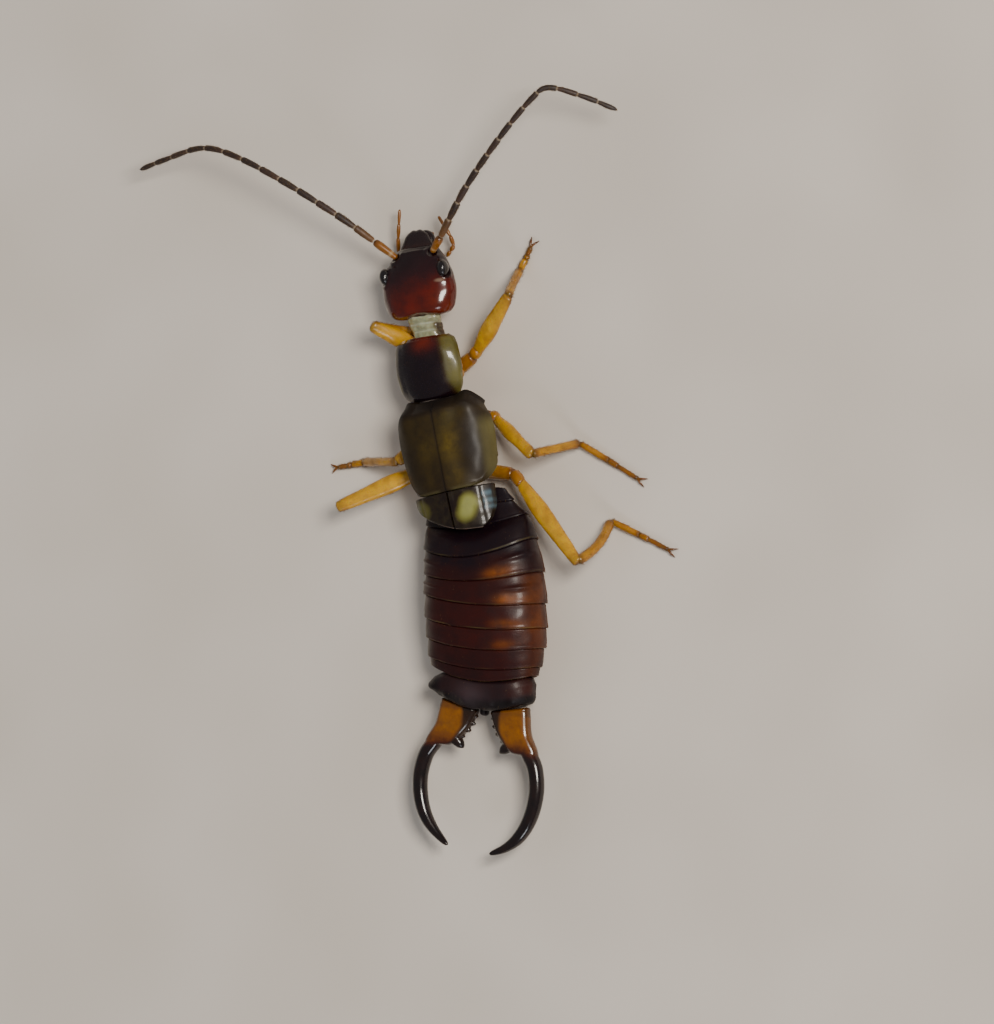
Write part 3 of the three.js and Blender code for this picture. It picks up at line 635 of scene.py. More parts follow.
def polished_pincer_cuticle():
    """Chitin worn to a polish: amber where it joins the body, then dark brown, black at the tips."""
    return cuticle(
        "polished_pincer_cuticle", [(0.0, "#8c540a"), (0.2, "#7a4408"), (0.36, "#451a07"), (0.5, "#1a0b0d"),
                                    (1.0, "#0c0709")],
        shade="#2c1008", tint="#0e0708", pale="#b97c1a", mottle_mm=0.35, mottle=0.35, rough=(0.12, 0.24),
        grain_mm=0.04, depth_mm=0.001, coat=0.3, coat_rough=0.06, glow=0.06, gleam=0.4,
    )


def golden_bristle():
    """Single bristles of clear chitin: thin, straw-gold, faintly shiny."""
    return cuticle(
        "golden_bristle", [(0.0, "#84622e"), (1.0, "#84622e")], shade="#5a4020", tint="#84622e",
        pale="#84622e",
        mottle_mm=0.3, mottle=0.4, rough=(0.35, 0.5), grain_mm=0.05, depth_mm=0.0005,
    )


def pale_floor_paint():
    """Matt paint on a flat board: warm, pale, faintly clouded, with roller marks 0.6 mm across."""
    material, tree, place = new_material("pale_floor_paint")
    cloud, marks = (add(tree, "ShaderNodeTexNoise", {
        "Vector": place, "Scale": 1 / (size * MM), "Detail": 1.0,
    }).outputs["Fac"] for size in (6, 0.6))
    colour = add(tree, "ShaderNodeValToRGB", {"Fac": cloud},
                 stops=[(0.3, "#d9cfc3"), (0.7, "#e2d9ce")]).outputs["Color"]
    bump = add(tree, "ShaderNodeBump", {"Height": marks, "Strength": 0.5, "Distance": 0.008 * MM}).outputs[0]
    shader = add(tree, "ShaderNodeBsdfPrincipled",
                 {"Base Color": colour, "Roughness": 0.75, "IOR": 1.45, "Normal": bump})
    add(tree, "ShaderNodeOutputMaterial", {"Surface": shader.outputs[0]})
    return material


# Camera, light and floor

# The view is square to a line 27 degrees off the upright, and the picture shows 34 pixels per millimetre
VIEW_TILT = math.radians(27)
VIEW_DISTANCE = 900.0
VIEW_MIDDLE = np.array([0.51, 0.0, 1.0])
PICTURE_PIXELS = 1024
PIXELS_PER_MM = 34.0
PICTURE_HEIGHT = PICTURE_PIXELS / PIXELS_PER_MM
SENSOR = 36.0
FLOOR_HALF = 1500
FLOOR_LEVEL = -0.005


def make_camera():
    """Looks down on the back, tilted so that more of the right flank shows; the head is at the top."""
    data = bpy.data.cameras.new("camera")
    data.sensor_width = SENSOR
    data.lens = SENSOR * VIEW_DISTANCE / PICTURE_HEIGHT
    data.clip_start = 10 * MM
    data.clip_end = 3000 * MM
    camera = placed("camera", data)
    back = np.array([math.sin(VIEW_TILT), 0.0, math.cos(VIEW_TILT)])
    camera.location = Vector(to_scene(VIEW_MIDDLE + back * VIEW_DISTANCE))
    camera.rotation_euler = (0.0, VIEW_TILT, 0.0)
    bpy.context.scene.camera = camera


def make_light(name, place, size, power, colour, glossy=True):
    """A soft square light that faces the animal; one that isn't glossy leaves no reflection on it."""
    data = bpy.data.lights.new(name, "AREA")
    data.size = size * MM
    data.energy = power
    data.color = linear(colour)[:3]
    light = placed(name, data)
    light.location = Vector(place) * MM
    light.rotation_euler = light.location.to_track_quat("Z", "Y").to_euler()
    light.visible_glossy = glossy


def make_studio():
    """Three soft lights, placed and sized in millimetres with their power in watts, and a pale sky."""
    make_light("key_light", (175, 45, 215), 74, 0.66, "#fff8ee")
    make_light("fill_light", (-210, 60, 270), 320, 0.13, "#f2f5ff", glossy=False)
    make_light("rim_light", (110, -210, 150), 70, 0.12, "#f4f8ff")
    world = bpy.data.worlds.new("studio")
    world.use_nodes = True
    sky = world.node_tree.nodes["Background"].inputs
    sky["Color"].default_value = linear("#e9e8e6")
    sky["Strength"].default_value = 0.27
    bpy.context.scene.world = world


def make_floor():
    half, low = FLOOR_HALF * MM, FLOOR_LEVEL * MM
    mesh = bpy.data.meshes.new("floor")
    corners = [(-half, -half, low), (half, -half, low), (half, half, low), (-half, half, low)]
    mesh.from_pydata(corners, [], [(0, 1, 2, 3)])
    mesh.materials.append(pale_floor_paint())
    placed("floor", mesh)


make_camera()
make_studio()
make_floor()


# Head

def feeler_root(side):
    return np.array([side * FEELER_ROOT[0], *FEELER_ROOT[1:]])


def make_head(finish):
    """The capsule: full cheeks, a notch at the neck, a forked seam and a ring round each socket."""
    y = stations(HEAD_BACK, HEAD_FRONT, 260)
    half = through((-1.1, 0.63), (-1.0, 0.87), (-0.75, 1.07), (-0.3, 1.17), (0.1, 1.13), (0.45, 1.01),
                   (0.75, 0.84), (1.1, 0.56))
    up = through((-1.1, 0.3), (-0.92, 0.48), (-0.72, 0.54), (-0.2, 0.52), (0.3, 0.47), (0.65, 0.39),
                 (1.1, 0.2))
    down = through((-1.1, 0.24), (-0.7, 0.43), (0.1, 0.48), (0.7, 0.36), (1.1, 0.18))
    sink = through((-1.1, 0.0), (0.2, 0.0), (0.75, -0.1), (1.1, -0.2))
    close = round_ends(y, 0.16, 0.1)
    grid = ovals(y, half(y) * (0.3 + 0.7 * close), up(y) * close, down(y) * close, square=ARCH, z=sink(y),
                 sides=240)
    x, yy, z = np.moveaxis(grid, -1, 0)
    above = smooth(0.0, 0.15, z)
    grid[..., 1] += 0.09 * hump(x, 0.5) * smooth(-0.8, -1.1, yy)
    seam_end = -0.12
    stem = np.hypot(x, np.maximum(yy - seam_end, 0))
    fork_t = np.clip((yy - seam_end) / 0.8, 0, 1)
    fork = np.abs(np.abs(x) - 0.62 * fork_t**0.8)
    fork = fork + 3 * np.maximum(seam_end - yy, 0) + 3 * np.maximum(yy - 0.6, 0)
    height = -0.007 * hump(stem, 0.03) - 0.006 * hump(fork, 0.035)
    height += 0.05 * hump(np.hypot(np.abs(x) - 0.6, yy + 0.66), 0.36)
    height -= 0.03 * hump(np.hypot(x, yy - 0.5), 0.25) - 0.02 * hump(np.abs(yy - 0.92), 0.06) * hump(x, 0.5)
    tint = np.zeros(x.shape)
    for side in (-1, 1):
        eye = np.hypot(np.hypot(x - side * EYE["at"][0], z - EYE["at"][2]), (yy - EYE["at"][1]) * 0.8)
        height += 0.03 * hump(eye - 0.25, 0.05) - 0.07 * (1 - smooth(0.14, 0.22, eye))
        tint = np.maximum(tint, 1 - smooth(0.22, 0.29, eye))
        root = np.linalg.norm(grid - feeler_root(side), axis=-1)
        height += 0.03 * hump(root - 0.22, 0.06) - 0.05 * (1 - smooth(0.1, 0.18, root))
        tint = np.maximum(tint, 0.8 * (1 - smooth(0.1, 0.19, root)))
    grid = raised(grid, height * above + 0.0035 * grain(grid, 0.25, 3))
    # Painted highlight: a small pale streak just behind the right eye, where the light catches the head
    behind = np.hypot((yy - EYE["at"][1] + 0.34) * 2.6, x - 0.86)
    pale = 0.3 * (1 - smooth(0.05, 0.2, behind))
    # Painted light and shade: the right cheek, on the lit side, is painted a lighter red and the left side
    # darker
    cheek = hump(np.hypot(x - 0.85, (yy + 0.45) * 0.7), 0.4)
    mark = (yy - HEAD_BACK) / (HEAD_FRONT - HEAD_BACK) + 0.1 * smooth(0.1, -0.7, x) - 0.25 * cheek
    mark = mark + 0.06 * grain(grid, 0.5, 4)
    piece("head_capsule", [Skin(carried(grid, HEAD), mark, tint * 0.85, pale)], finish, "head")


def make_eyes(finish):
    along = EYE["along"] * LENS_SHARE["along"]
    y = stations(-along, along, 60)
    radius = np.sqrt(np.maximum(1 - (y / along) ** 2, 1e-4))
    for name, side in SIDES:
        ex, ey, ez = EYE["at"]
        wide, tall = (radius * EYE[way] * LENS_SHARE["round"] for way in ("across", "tall"))
        grid = ovals(y + ey, wide, tall, tall, x=side * (ex - LENS_SUNK), z=ez, sides=64)
        piece(f"eye_dome_{name}", [Skin(carried(grid, HEAD), 0.3)], finish, f"eye_{name}")


def make_mouth(finish, pale):
    """Upper lip, jaws with toothed inner edges, and the lower lip with its two feelers."""
    t = stations(0, 1, 60)
    y = HEAD_FRONT - 0.08 + t * 0.56
    close = round_ends(t * 0.56, 0.05, 0.22)
    half = through((0, 0.57), (0.4, 0.44), (0.75, 0.34), (1, 0.22))(t)
    lip = ovals(y, half * (0.4 + 0.6 * close), 0.16 * close * (1 - 0.3 * t), 0.1 * close, square=2.5,
                z=-0.17 - 0.08 * t, sides=96)
    lip[..., 1] -= 0.02 * hump(lip[..., 0], 0.08) * smooth(1.4, 1.58, lip[..., 1])
    skin = Skin(carried(lip, HEAD), 0.75, 0.15 * smooth(0.4, 0.0, t)[:, None])
    piece("upper_lip", [skin], finish, "labrum")
    for name, side in SIDES:
        path = curve_points([(side * 0.32, HEAD_FRONT - 0.05, -0.42),
                             (side * 0.32, HEAD_FRONT + 0.18, -0.46),
                             (side * 0.24, HEAD_FRONT + 0.32, -0.47),
                             (side * 0.06, HEAD_FRONT + 0.42, -0.46)], 50)
        s = np.linspace(0, 1, 50)
        wide = through((0, 0.13), (0.4, 0.14), (0.75, 0.1), (1, 0.03))(s) * round_ends(s, 0.1, 0.04)
        jaw = tube(path, wide, wide * 0.85, 40)
        teeth = [limb(path[i], path[i] + np.array([-side * 0.14, 0.02, 0]),
                      through((0, 0.06), (1, 0.015)), count=14, sides=12) for i in (27, 34)]
        skins = [Skin(carried(jaw, HEAD), 0.4 + s[:, None] * 0.6, 0.3 * smooth(0.3, 0, s)[:, None])]
        skins += [Skin(carried(tooth, HEAD), 1.0) for tooth in teeth]
        piece(f"jaw_{name}", skins, finish, f"mandible_{name}")
        make_palp(name, side, pale)
    y = stations(0.22, 1.05, 40)
    close = round_ends(y, 0.1, 0.08)
    plate = ovals(y, through((0.22, 0.26), (1.05, 0.17))(y) * close, 0.12 * close, 0.1 * close, square=2.8,
                  z=-0.92, sides=64)
    skins = [Skin(carried(plate, HEAD), 0.6)]
    for side in (-1, 1):
        joints = [(side * 0.1, 0.95, -0.9), (side * 0.14, 1.14, -0.89), (side * 0.18, 1.32, -0.885),
                  (side * 0.2, 1.48, -0.88)]
        skins += jointed(joints, [0.06, 0.06, 0.05], HEAD)
    piece("lower_lip", skins, pale, "labium")


def jointed(joints, radii, carrier):
    """A row of small joints, each swelling towards its tip and brown at its ends."""
    skins = []
    for start, end, radius in zip(joints, joints[1:], radii):
        start, end = np.array(start, float), np.array(end, float)
        overlap = (end - start) * 0.08
        grid = limb(start - overlap, end + overlap,
                    through((0, radius * 0.62), (0.55, radius), (1, radius * 0.85)), count=26, sides=24)
        s = np.linspace(0, 1, 26)[:, None]
        skins.append(Skin(carried(grid, carrier),
                          0.72 + 0.25 * smooth(0.8, 1, s) + 0.2 * smooth(0.15, 0, s)))
    return skins


def make_palp(name, side, finish):
    reach = 1.0 if name == "left" else 0.68
    path = curve_points([(side * 0.62, 0.7, -0.78), (side * 0.94, 1.05, -0.76),
                         (side * 0.84, 1.1 + 0.35 * reach, -0.66),
                         (side * (0.66 - 0.2 * (1 - reach)), 1.1 + 1.15 * reach, -0.62)], 101)
    joints = path[[0, 14, 28, 52, 76, 100]]
    skins = jointed(joints, [0.065, 0.07, 0.065, 0.06, 0.05], HEAD)
    piece(f"jaw_feeler_{name}", skins, finish, f"palp_{name}")


def make_feelers(pale, dark):
    """Fourteen joints: a stout amber first one, then slender dark ones with a pale ring where two meet."""
    down = []
    for name, side in SIDES:
        root = carried(feeler_root(side), HEAD)
        start = np.array(FEELERS[name][0])
        scape = limb(root - (start - root) * 0.08, start,
                     through((0, 0.09), (0.25, 0.1), (0.75, 0.125), (1, 0.1)), sides=36)
        s = stations(0, 1, 60)[:, None]
        mark = 0.68 + 0.3 * smooth(0.75, 1, s) + 0.3 * smooth(0.08, 0, s)
        ring = 0.3 * hump(s - 0.26, 0.05)
        piece(f"feeler_base_{name}", [Skin(scape, mark, 0.0, ring)], pale, f"scape_{name}")
        count = FEELER_JOINTS * RINGS_PER_JOINT + 1
        path = curve_points((start * 1.02 - root * 0.02, *FEELERS[name][1:]), count)
        at = np.linspace(0, FEELER_JOINTS, count)
        joint = np.minimum(at.astype(int), FEELER_JOINTS - 1)
        s = at - joint
        radius = 0.112 - 0.034 * at / FEELER_JOINTS
        waist = through((0, 0.6), (0.08, 0.78), (0.35, 0.92), (0.75, 1.0), (0.93, 0.98), (1, 0.6))(s)
        tip = through((0, 1), (FEELER_JOINTS - 0.5, 1), (FEELER_JOINTS - 0.1, 0.6),
                      (FEELER_JOINTS, 0.08))(at)
        grid = tube(path, radius * waist * tip, sides=24)
        ring = np.maximum(smooth(0.07, 0.0, s), smooth(0.95, 1.0, s))
        shade = 0.65 + 0.1 * np.sin(joint * 2.3) - 0.15 * smooth(0.4, 0.0, s)
        warm = 0.5 * (1 - smooth(0.0, 1.6, at))
        skin = Skin(grid, shade[:, None], warm[:, None], 0.5 * ring[:, None])
        piece(f"feeler_thread_{name}", [skin], dark, f"feeler_{name}")
        down.append(sown(grid, 1400, 40, 0.075, 0.9, stand=0.5))
    return down


# Neck and front of the thorax

def make_neck(finish):
    """Wet folds of soft skin between the head and the shield, with a dark plate on either side."""
    start = carried(np.array([0.0, HEAD_BACK + 0.1, -0.02]), HEAD)
    end = carried(np.array([0.0, CHEST_FRONT, -0.05]), PROTHORAX)
    turn = math.radians(HEAD["turn"])
    wide, folds = 0.55, 4.5
    t = np.linspace(0, 1, 170)
    at = start + (end - start) * t[:, None]
    pinch = 1 - 0.12 * np.sin(math.pi * t)
    wave = np.sin(t * math.pi * folds)
    fold = 0.035 * np.abs(wave) ** 0.6 - 0.02
    grid = ovals(at[:, 1], wide * pinch + fold, 0.3 * pinch + fold, 0.27 * pinch + fold, x=at[:, 0],
                 z=at[:, 2], heading=turn, sides=140)
    across = (grid[..., 0] - at[:, 0][:, None]) / wide
    grid = raised(grid, 0.014 * grain(grid, 0.13, 11))
    dark = smooth(0.5, 0.75, across) * smooth(0.15, 0.3, t)[:, None] + smooth(0.75, 0.9, -across)
    wet = 0.4 * hump(wave, 0.4)[:, None] * (1 - dark)
    skin = Skin(grid, dark, 0.2 * smooth(0.2, 0.6, across), np.clip(wet, 0, 1))
    piece("neck_folds", [skin], finish, "neck")


def make_prothorax(finish):
    y = stations(CHEST_BACK, CHEST_FRONT, 90)
    half = through((-0.55, 0.63), (-0.25, 0.89), (0.25, 0.85), (0.62, 0.52))(y)
    close = round_ends(y, 0.15, 0.12)
    grid = ovals(y, half * close, 0.31 * close, 0.37 * close, square=2.4, lower=1.7, sides=120)
    grid = raised(grid, 0.012 * grain(grid, 0.3, 12) - 0.03 * hump(grid[..., 1] + 0.1, 0.04))
    mark = 0.55 + 0.15 * grain(grid, 0.3, 5)
    piece("chest_front", [Skin(carried(grid, PROTHORAX), mark)], finish, "prothorax")


def make_shield(finish):
    """The pronotum: square in front, round behind, with turned-up rims, a fine middle line and two dents."""
    end = SHIELD_END
    y = stations(-end, end, 200)
    wide = SHIELD_HALF_WIDTH
    half = through((-end, wide * 0.45), (-0.9, wide * 0.68), (-0.74, wide * 0.87), (-0.45, wide * 0.97),
                   (0, wide), (0.6, wide * 0.95), (0.85, wide * 0.88), (end, wide * 0.74))(y)

    def crown(t):
        return 0.9 - 0.42 * np.abs(t) ** 2.2

    def top(t, y_):
        rise = crown(t) + 0.03 * smooth(0.7, 1.0, np.abs(t))
        line = -0.006 * hump(t, 0.02) * (1 - smooth(0.6, 0.8, np.abs(y_)))
        dents = -0.03 * hump(np.hypot(np.abs(t) - 0.4, (y_ - 0.35) * 1.2), 0.25)
        lip = -0.09 * smooth(0.8, 0.955, np.abs(y_)) ** 2 - 0.1 * (y_ - 0.35) ** 2
        return rise + line + dents + lip + 0.05 * hump(np.hypot(t - 0.72, y_ - 0.42), 0.34)

    def bottom(t, y_):
        return crown(t) - 0.38 + 0.2 * np.abs(t) ** 2 + 0 * y_

    grid = plates(y, top, bottom, half)
    x, yy = grid[..., 0], grid[..., 1]
    grid = raised(grid, 0.001 * grain(grid, 0.2, 13))
    waver = 0.06 * grain(grid, 0.5, 6)
    right = smooth(0.3, 0.95, x + waver + 0.12 * yy)
    left = 0.8 * smooth(0.8, 1.0, -x + waver)
    hind = 0.35 * smooth(-0.84, -0.93, yy)
    rim = 0.5 * smooth(0.94, 1.0, np.abs(x) / half[:, None]) * smooth(-0.5, 0.2, yy)
    tint = 0.75 * hump(np.hypot(x - 0.1, (yy - 0.78) * 1.6), 0.4) + 0.25 * hump(yy - 0.93, 0.06)
    pale = 0.75 * smooth(-0.9, -0.945, yy) * (1 - smooth(0.5, 0.8, np.abs(x)))
    mark = np.clip(right + left + hind - 0.35 * rim, 0, 1) * 0.86
    skin = Skin(carried(grid, PROTHORAX), mark, np.clip(tint, 0, 0.8), pale)
    piece("shield", [skin], finish, "pronotum")


# Middle of the body and the wings

def make_thorax(finish):
    """The keeled trunk under the wing cases: breast plates parted by grooves."""
    y = stations(TRUNK_BACK, TRUNK_FRONT, 180)
    half = through((-0.85, 1.22), (-0.5, 1.41), (0.0, 1.29), (0.5, 0.99), (1.15, 0.77), (1.6, 0.65))(y)
    up = through((-0.85, 0.38), (0.9, 0.3), (1.2, 0.08), (1.6, 0.06))(y)
    down = through((-0.85, 0.48), (-0.6, 0.43), (1.0, 0.43), (1.6, 0.34))(y)
    close = round_ends(y, 0.14, 0.14)
    grid = ovals(y, half * (0.6 + 0.4 * close), up * close, down * close, square=2.4, lower=1.5, sides=160)
    yy = grid[..., 1]
    height = -0.05 * hump(yy - 0.25, 0.035) - 0.04 * hump(yy + 0.6, 0.035) - 0.02 * hump(grid[..., 0], 0.03)
    grid = raised(grid, height + 0.01 * grain(grid, 0.35, 14))
    out = np.abs(grid[..., 0])
    skin = Skin(carried(grid, THORAX), 0.2, 0.3 * smooth(0.6, 1.1, out), 0.3 * hump(yy + 0.6, 0.05))
    piece("trunk", [skin], finish, "thorax")


def make_wing_cases(finish):
    """Two leathery cases that meet in a straight seam, keeled at the shoulder and cut off round behind."""
    front = CASE_FRONT + CASE_LIP
    y = stations(CASE_BACK, front, 230)
    wide = CASE_HALF_WIDTH
    half = through((CASE_BACK, wide * 0.77), (-1.2, wide * 0.82), (-0.88, wide * 0.91), (-0.3, wide * 0.975),
                   (0.4, wide), (0.95, wide * 0.975), (CASE_FRONT, wide * 0.9))(y)
    reach = through((CASE_BACK, 0.5), (CASE_BACK + 0.08, 0.68), (CASE_BACK + 0.25, 0.86),
                    (CASE_BACK + 0.6, 1), (1.0, 1), (CASE_FRONT, 0.86))(y)
    lip = round_ends(y, 0.14, 0.12)
    ahead = CASE_SHOULDER * smooth(0.4, CASE_FRONT, y)[:, None]
    tuck = 0.34 * smooth(CASE_FRONT - 0.25, front, y)[:, None]
    t = np.linspace(0, 1, 120)[None]
    angle = t * reach[:, None] * math.pi / 2
    for name, side in SIDES:

        def arc(width, rise, low):
            out = soft_power(np.sin(angle), 2 / ARCH)
            x = 0.004 + (width - 0.004) * out
            z = low + rise * soft_power(np.cos(angle), 2 / ARCH) - tuck
            corner = CASE_CORNER * (1 - np.sqrt(1 - np.clip((out - 0.5) / 0.52, 0, 1) ** 2))
            corner = corner * smooth(CASE_FRONT - 1.2, front, y)[:, None]
            return np.stack([side * x, y[:, None] + ahead * smooth(0.45, 0.75, out) - corner, z], -1)

        thick = SHELL * (0.35 + 0.6 * lip)
        rise = CASE_RISE * (0.93 + 0.07 * lip)
        outer = arc(half[:, None] * (0.985 + 0.015 * lip[:, None]), rise[:, None], 0.15)
        inner = arc((half - thick)[:, None], (CASE_RISE - thick)[:, None], 0.16)
        x, yy = np.abs(outer[..., 0]), outer[..., 1]
        relief = 0.02 * hump(t - 0.8, 0.06) - 0.006 * hump(x, 0.022)
        relief = relief + 0.012 * hump(yy - CASE_BACK - 0.1, 0.05) + 0.006 * grain(outer, 0.35, 15)
        relief = relief - 0.03 * hump(np.hypot(x - 0.7, (yy - 0.85) * 0.8), 0.25)
        relief = relief + 0.05 * hump(np.hypot(x - 1.1, yy - 0.98), 0.3)
        relief = relief - 0.03 * hump(np.hypot(x - 0.55, yy + 0.5), 0.3)
        outer[..., 2] += relief
        grid = np.concatenate([outer, inner[:, ::-1]], 1)
        gx, gy = np.abs(grid[..., 0]), grid[..., 1]
        cloud = 0.5 + 0.5 * grain(grid * np.array([1, 0.5, 1]), 0.7, 16)
        # Painted glow: olive patches near the seam, stronger on the right case, the side the light comes
        # from
        glow = hump(np.hypot(gx - 0.4, (gy + 0.05) * 0.75), 0.33)
        glow = glow + 0.8 * hump(np.hypot(gx - 0.38, gy + 0.9), 0.24)
        glow = glow * (0.3 + 0.7 * cloud) * (0.4 if side < 0 else 0.75)
        # Painted shade: a near-black band at the front, where the case passes under the shield's hind edge
        mark = 0.26 + 0.36 * cloud - 0.45 * smooth(CASE_FRONT - 0.4, CASE_FRONT - 0.05, gy)
        mark = mark - 0.3 * hump(gx, 0.035)
        # Painted light and shade: the outer band is paler khaki on the lit right case and darker on the left
        flank = smooth(1.12, 1.4, gx) * (1 - smooth(0.3, 0.8, gy))
        mark = mark + flank * (0.35 if side > 0 else -0.15)
        hind = smooth(CASE_BACK + 0.12, CASE_BACK + 0.02, gy) * smooth(0.1, 0.3, gx)
        pale = 0.2 * hind + flank * (0.35 + 0.25 * cloud if side > 0 else 0.05)
        skin = Skin(carried(grid, THORAX), mark, np.clip(glow, 0, 0.8), np.clip(pale, 0, 0.6))
        piece(f"case_{name}", [skin], finish, f"wing_case_{name}")


def make_wing_tips(finish):
    """Folded hind wings behind the cases: creased leather, a yellow spot, dark seam and outer edge."""
    start = CASE_BACK - GAP * 0.1
    s = stations(0, 1, 120)
    wide = WING_TIP_HALF_WIDTH
    t = np.linspace(0, 1, 120)[None]
    outer = through((0, wide), (0.5, wide * 0.98), (0.8, wide * 0.88), (1, wide * 0.66))(s)
    thin = through((0, 1), (0.7, 0.8), (1, 0.4))(s)
    # How far back each tip reaches at a distance from the seam, and the place and size of its spot
    ends = {"left": through((0, 1.12), (0.5, 0.9), (1.0, 0.62), (1.3, 0.5)),
            "right": through((0, 1.12), (0.35, 1.2), (1.0, 1.25), (1.3, 1.1))}
    spots = {"left": (0.95, 0.36, 0.4, 0.42), "right": (0.54, 0.56, 0.42, 0.52)}
    for name, side in SIDES:
        x = 0.03 + (outer[:, None] - 0.03) * t
        crown = 0.13 + 0.86 * (1 - (x / WING_ARCH_WIDTH) ** ARCH) ** (1 / ARCH) - 0.06 * s[:, None]
        pleat = -0.012 * hump(x - 0.96, 0.05) - 0.01 * hump(x - 0.2, 0.06)
        close = round_ends(s * 1.1, 0.04, 0.14)[:, None]
        yy = start - s[:, None] * ends[name](x)
        lumps = 0.006 * grain(np.stack([side * x, yy, 0 * x], -1), 0.2, 7)
        top = crown + pleat + lumps - 0.06 * (1 - close)
        under = crown - 0.27 * thin[:, None] * (0.3 + 0.7 * close)
        upper = np.stack([side * x, yy, top], -1)
        lower = np.stack([side * x, yy, under], -1)[:, ::-1]
        grid = np.concatenate([upper, lower], 1)
        gx = np.abs(grid[..., 0])
        gs = (start - grid[..., 1]) / WING_TIP_LENGTH
        middle, place, spot_wide, spot_long = spots[name]
        across, down = (gx - middle) / spot_wide, (gs - place) / spot_long
        away = np.hypot(across + 0.3 * down, down)
        spot = 1 - smooth(0.35, 1.3, away + 0.06 * grain(grid, 0.3, 8))
        mark = 0.15 + (0.75 if side > 0 else 0.42) * spot
        # Painted reflection: a blue-grey glinting strip near the outer edge, strong on the right wing tip,
        # faint on the left
        painted_reflection = smooth(0.98, 1.04, gx) * (1 - smooth(1.22, 1.27, gx))
        painted_reflection = painted_reflection * smooth(0.1, 0.2, gs) * (1 - smooth(0.6, 0.8, gs))
        painted_reflection = painted_reflection * (0.65 + 0.35 * np.sin(gs * 30)) * (0.95 if side > 0 else 0.2)
        hind = (np.arange(len(s)) > len(s) - 10)[:, None]
        rim = 0.55 * hind * (1 - smooth(0.9, 1.2, gx)) * (0.6 + 0.4 * grain(grid, 0.3, 9))
        skin = Skin(carried(grid, THORAX), mark, painted_reflection, np.clip(rim, 0, 1))
        piece(f"wing_end_{name}", [skin], finish, f"wing_tip_{name}")


# Abdomen and pincers

abdomen_line = through((-5.1, 0.11), (-4.55, 0.13), (-4.0, 0.17), (-3.3, 0.19), (-2.6, 0.2), (-2.0, 0.17),
                       (-1.27, 0.06), (-0.53, -0.06), (0.2, -0.22), (ABDOMEN_FRONT, -0.35))


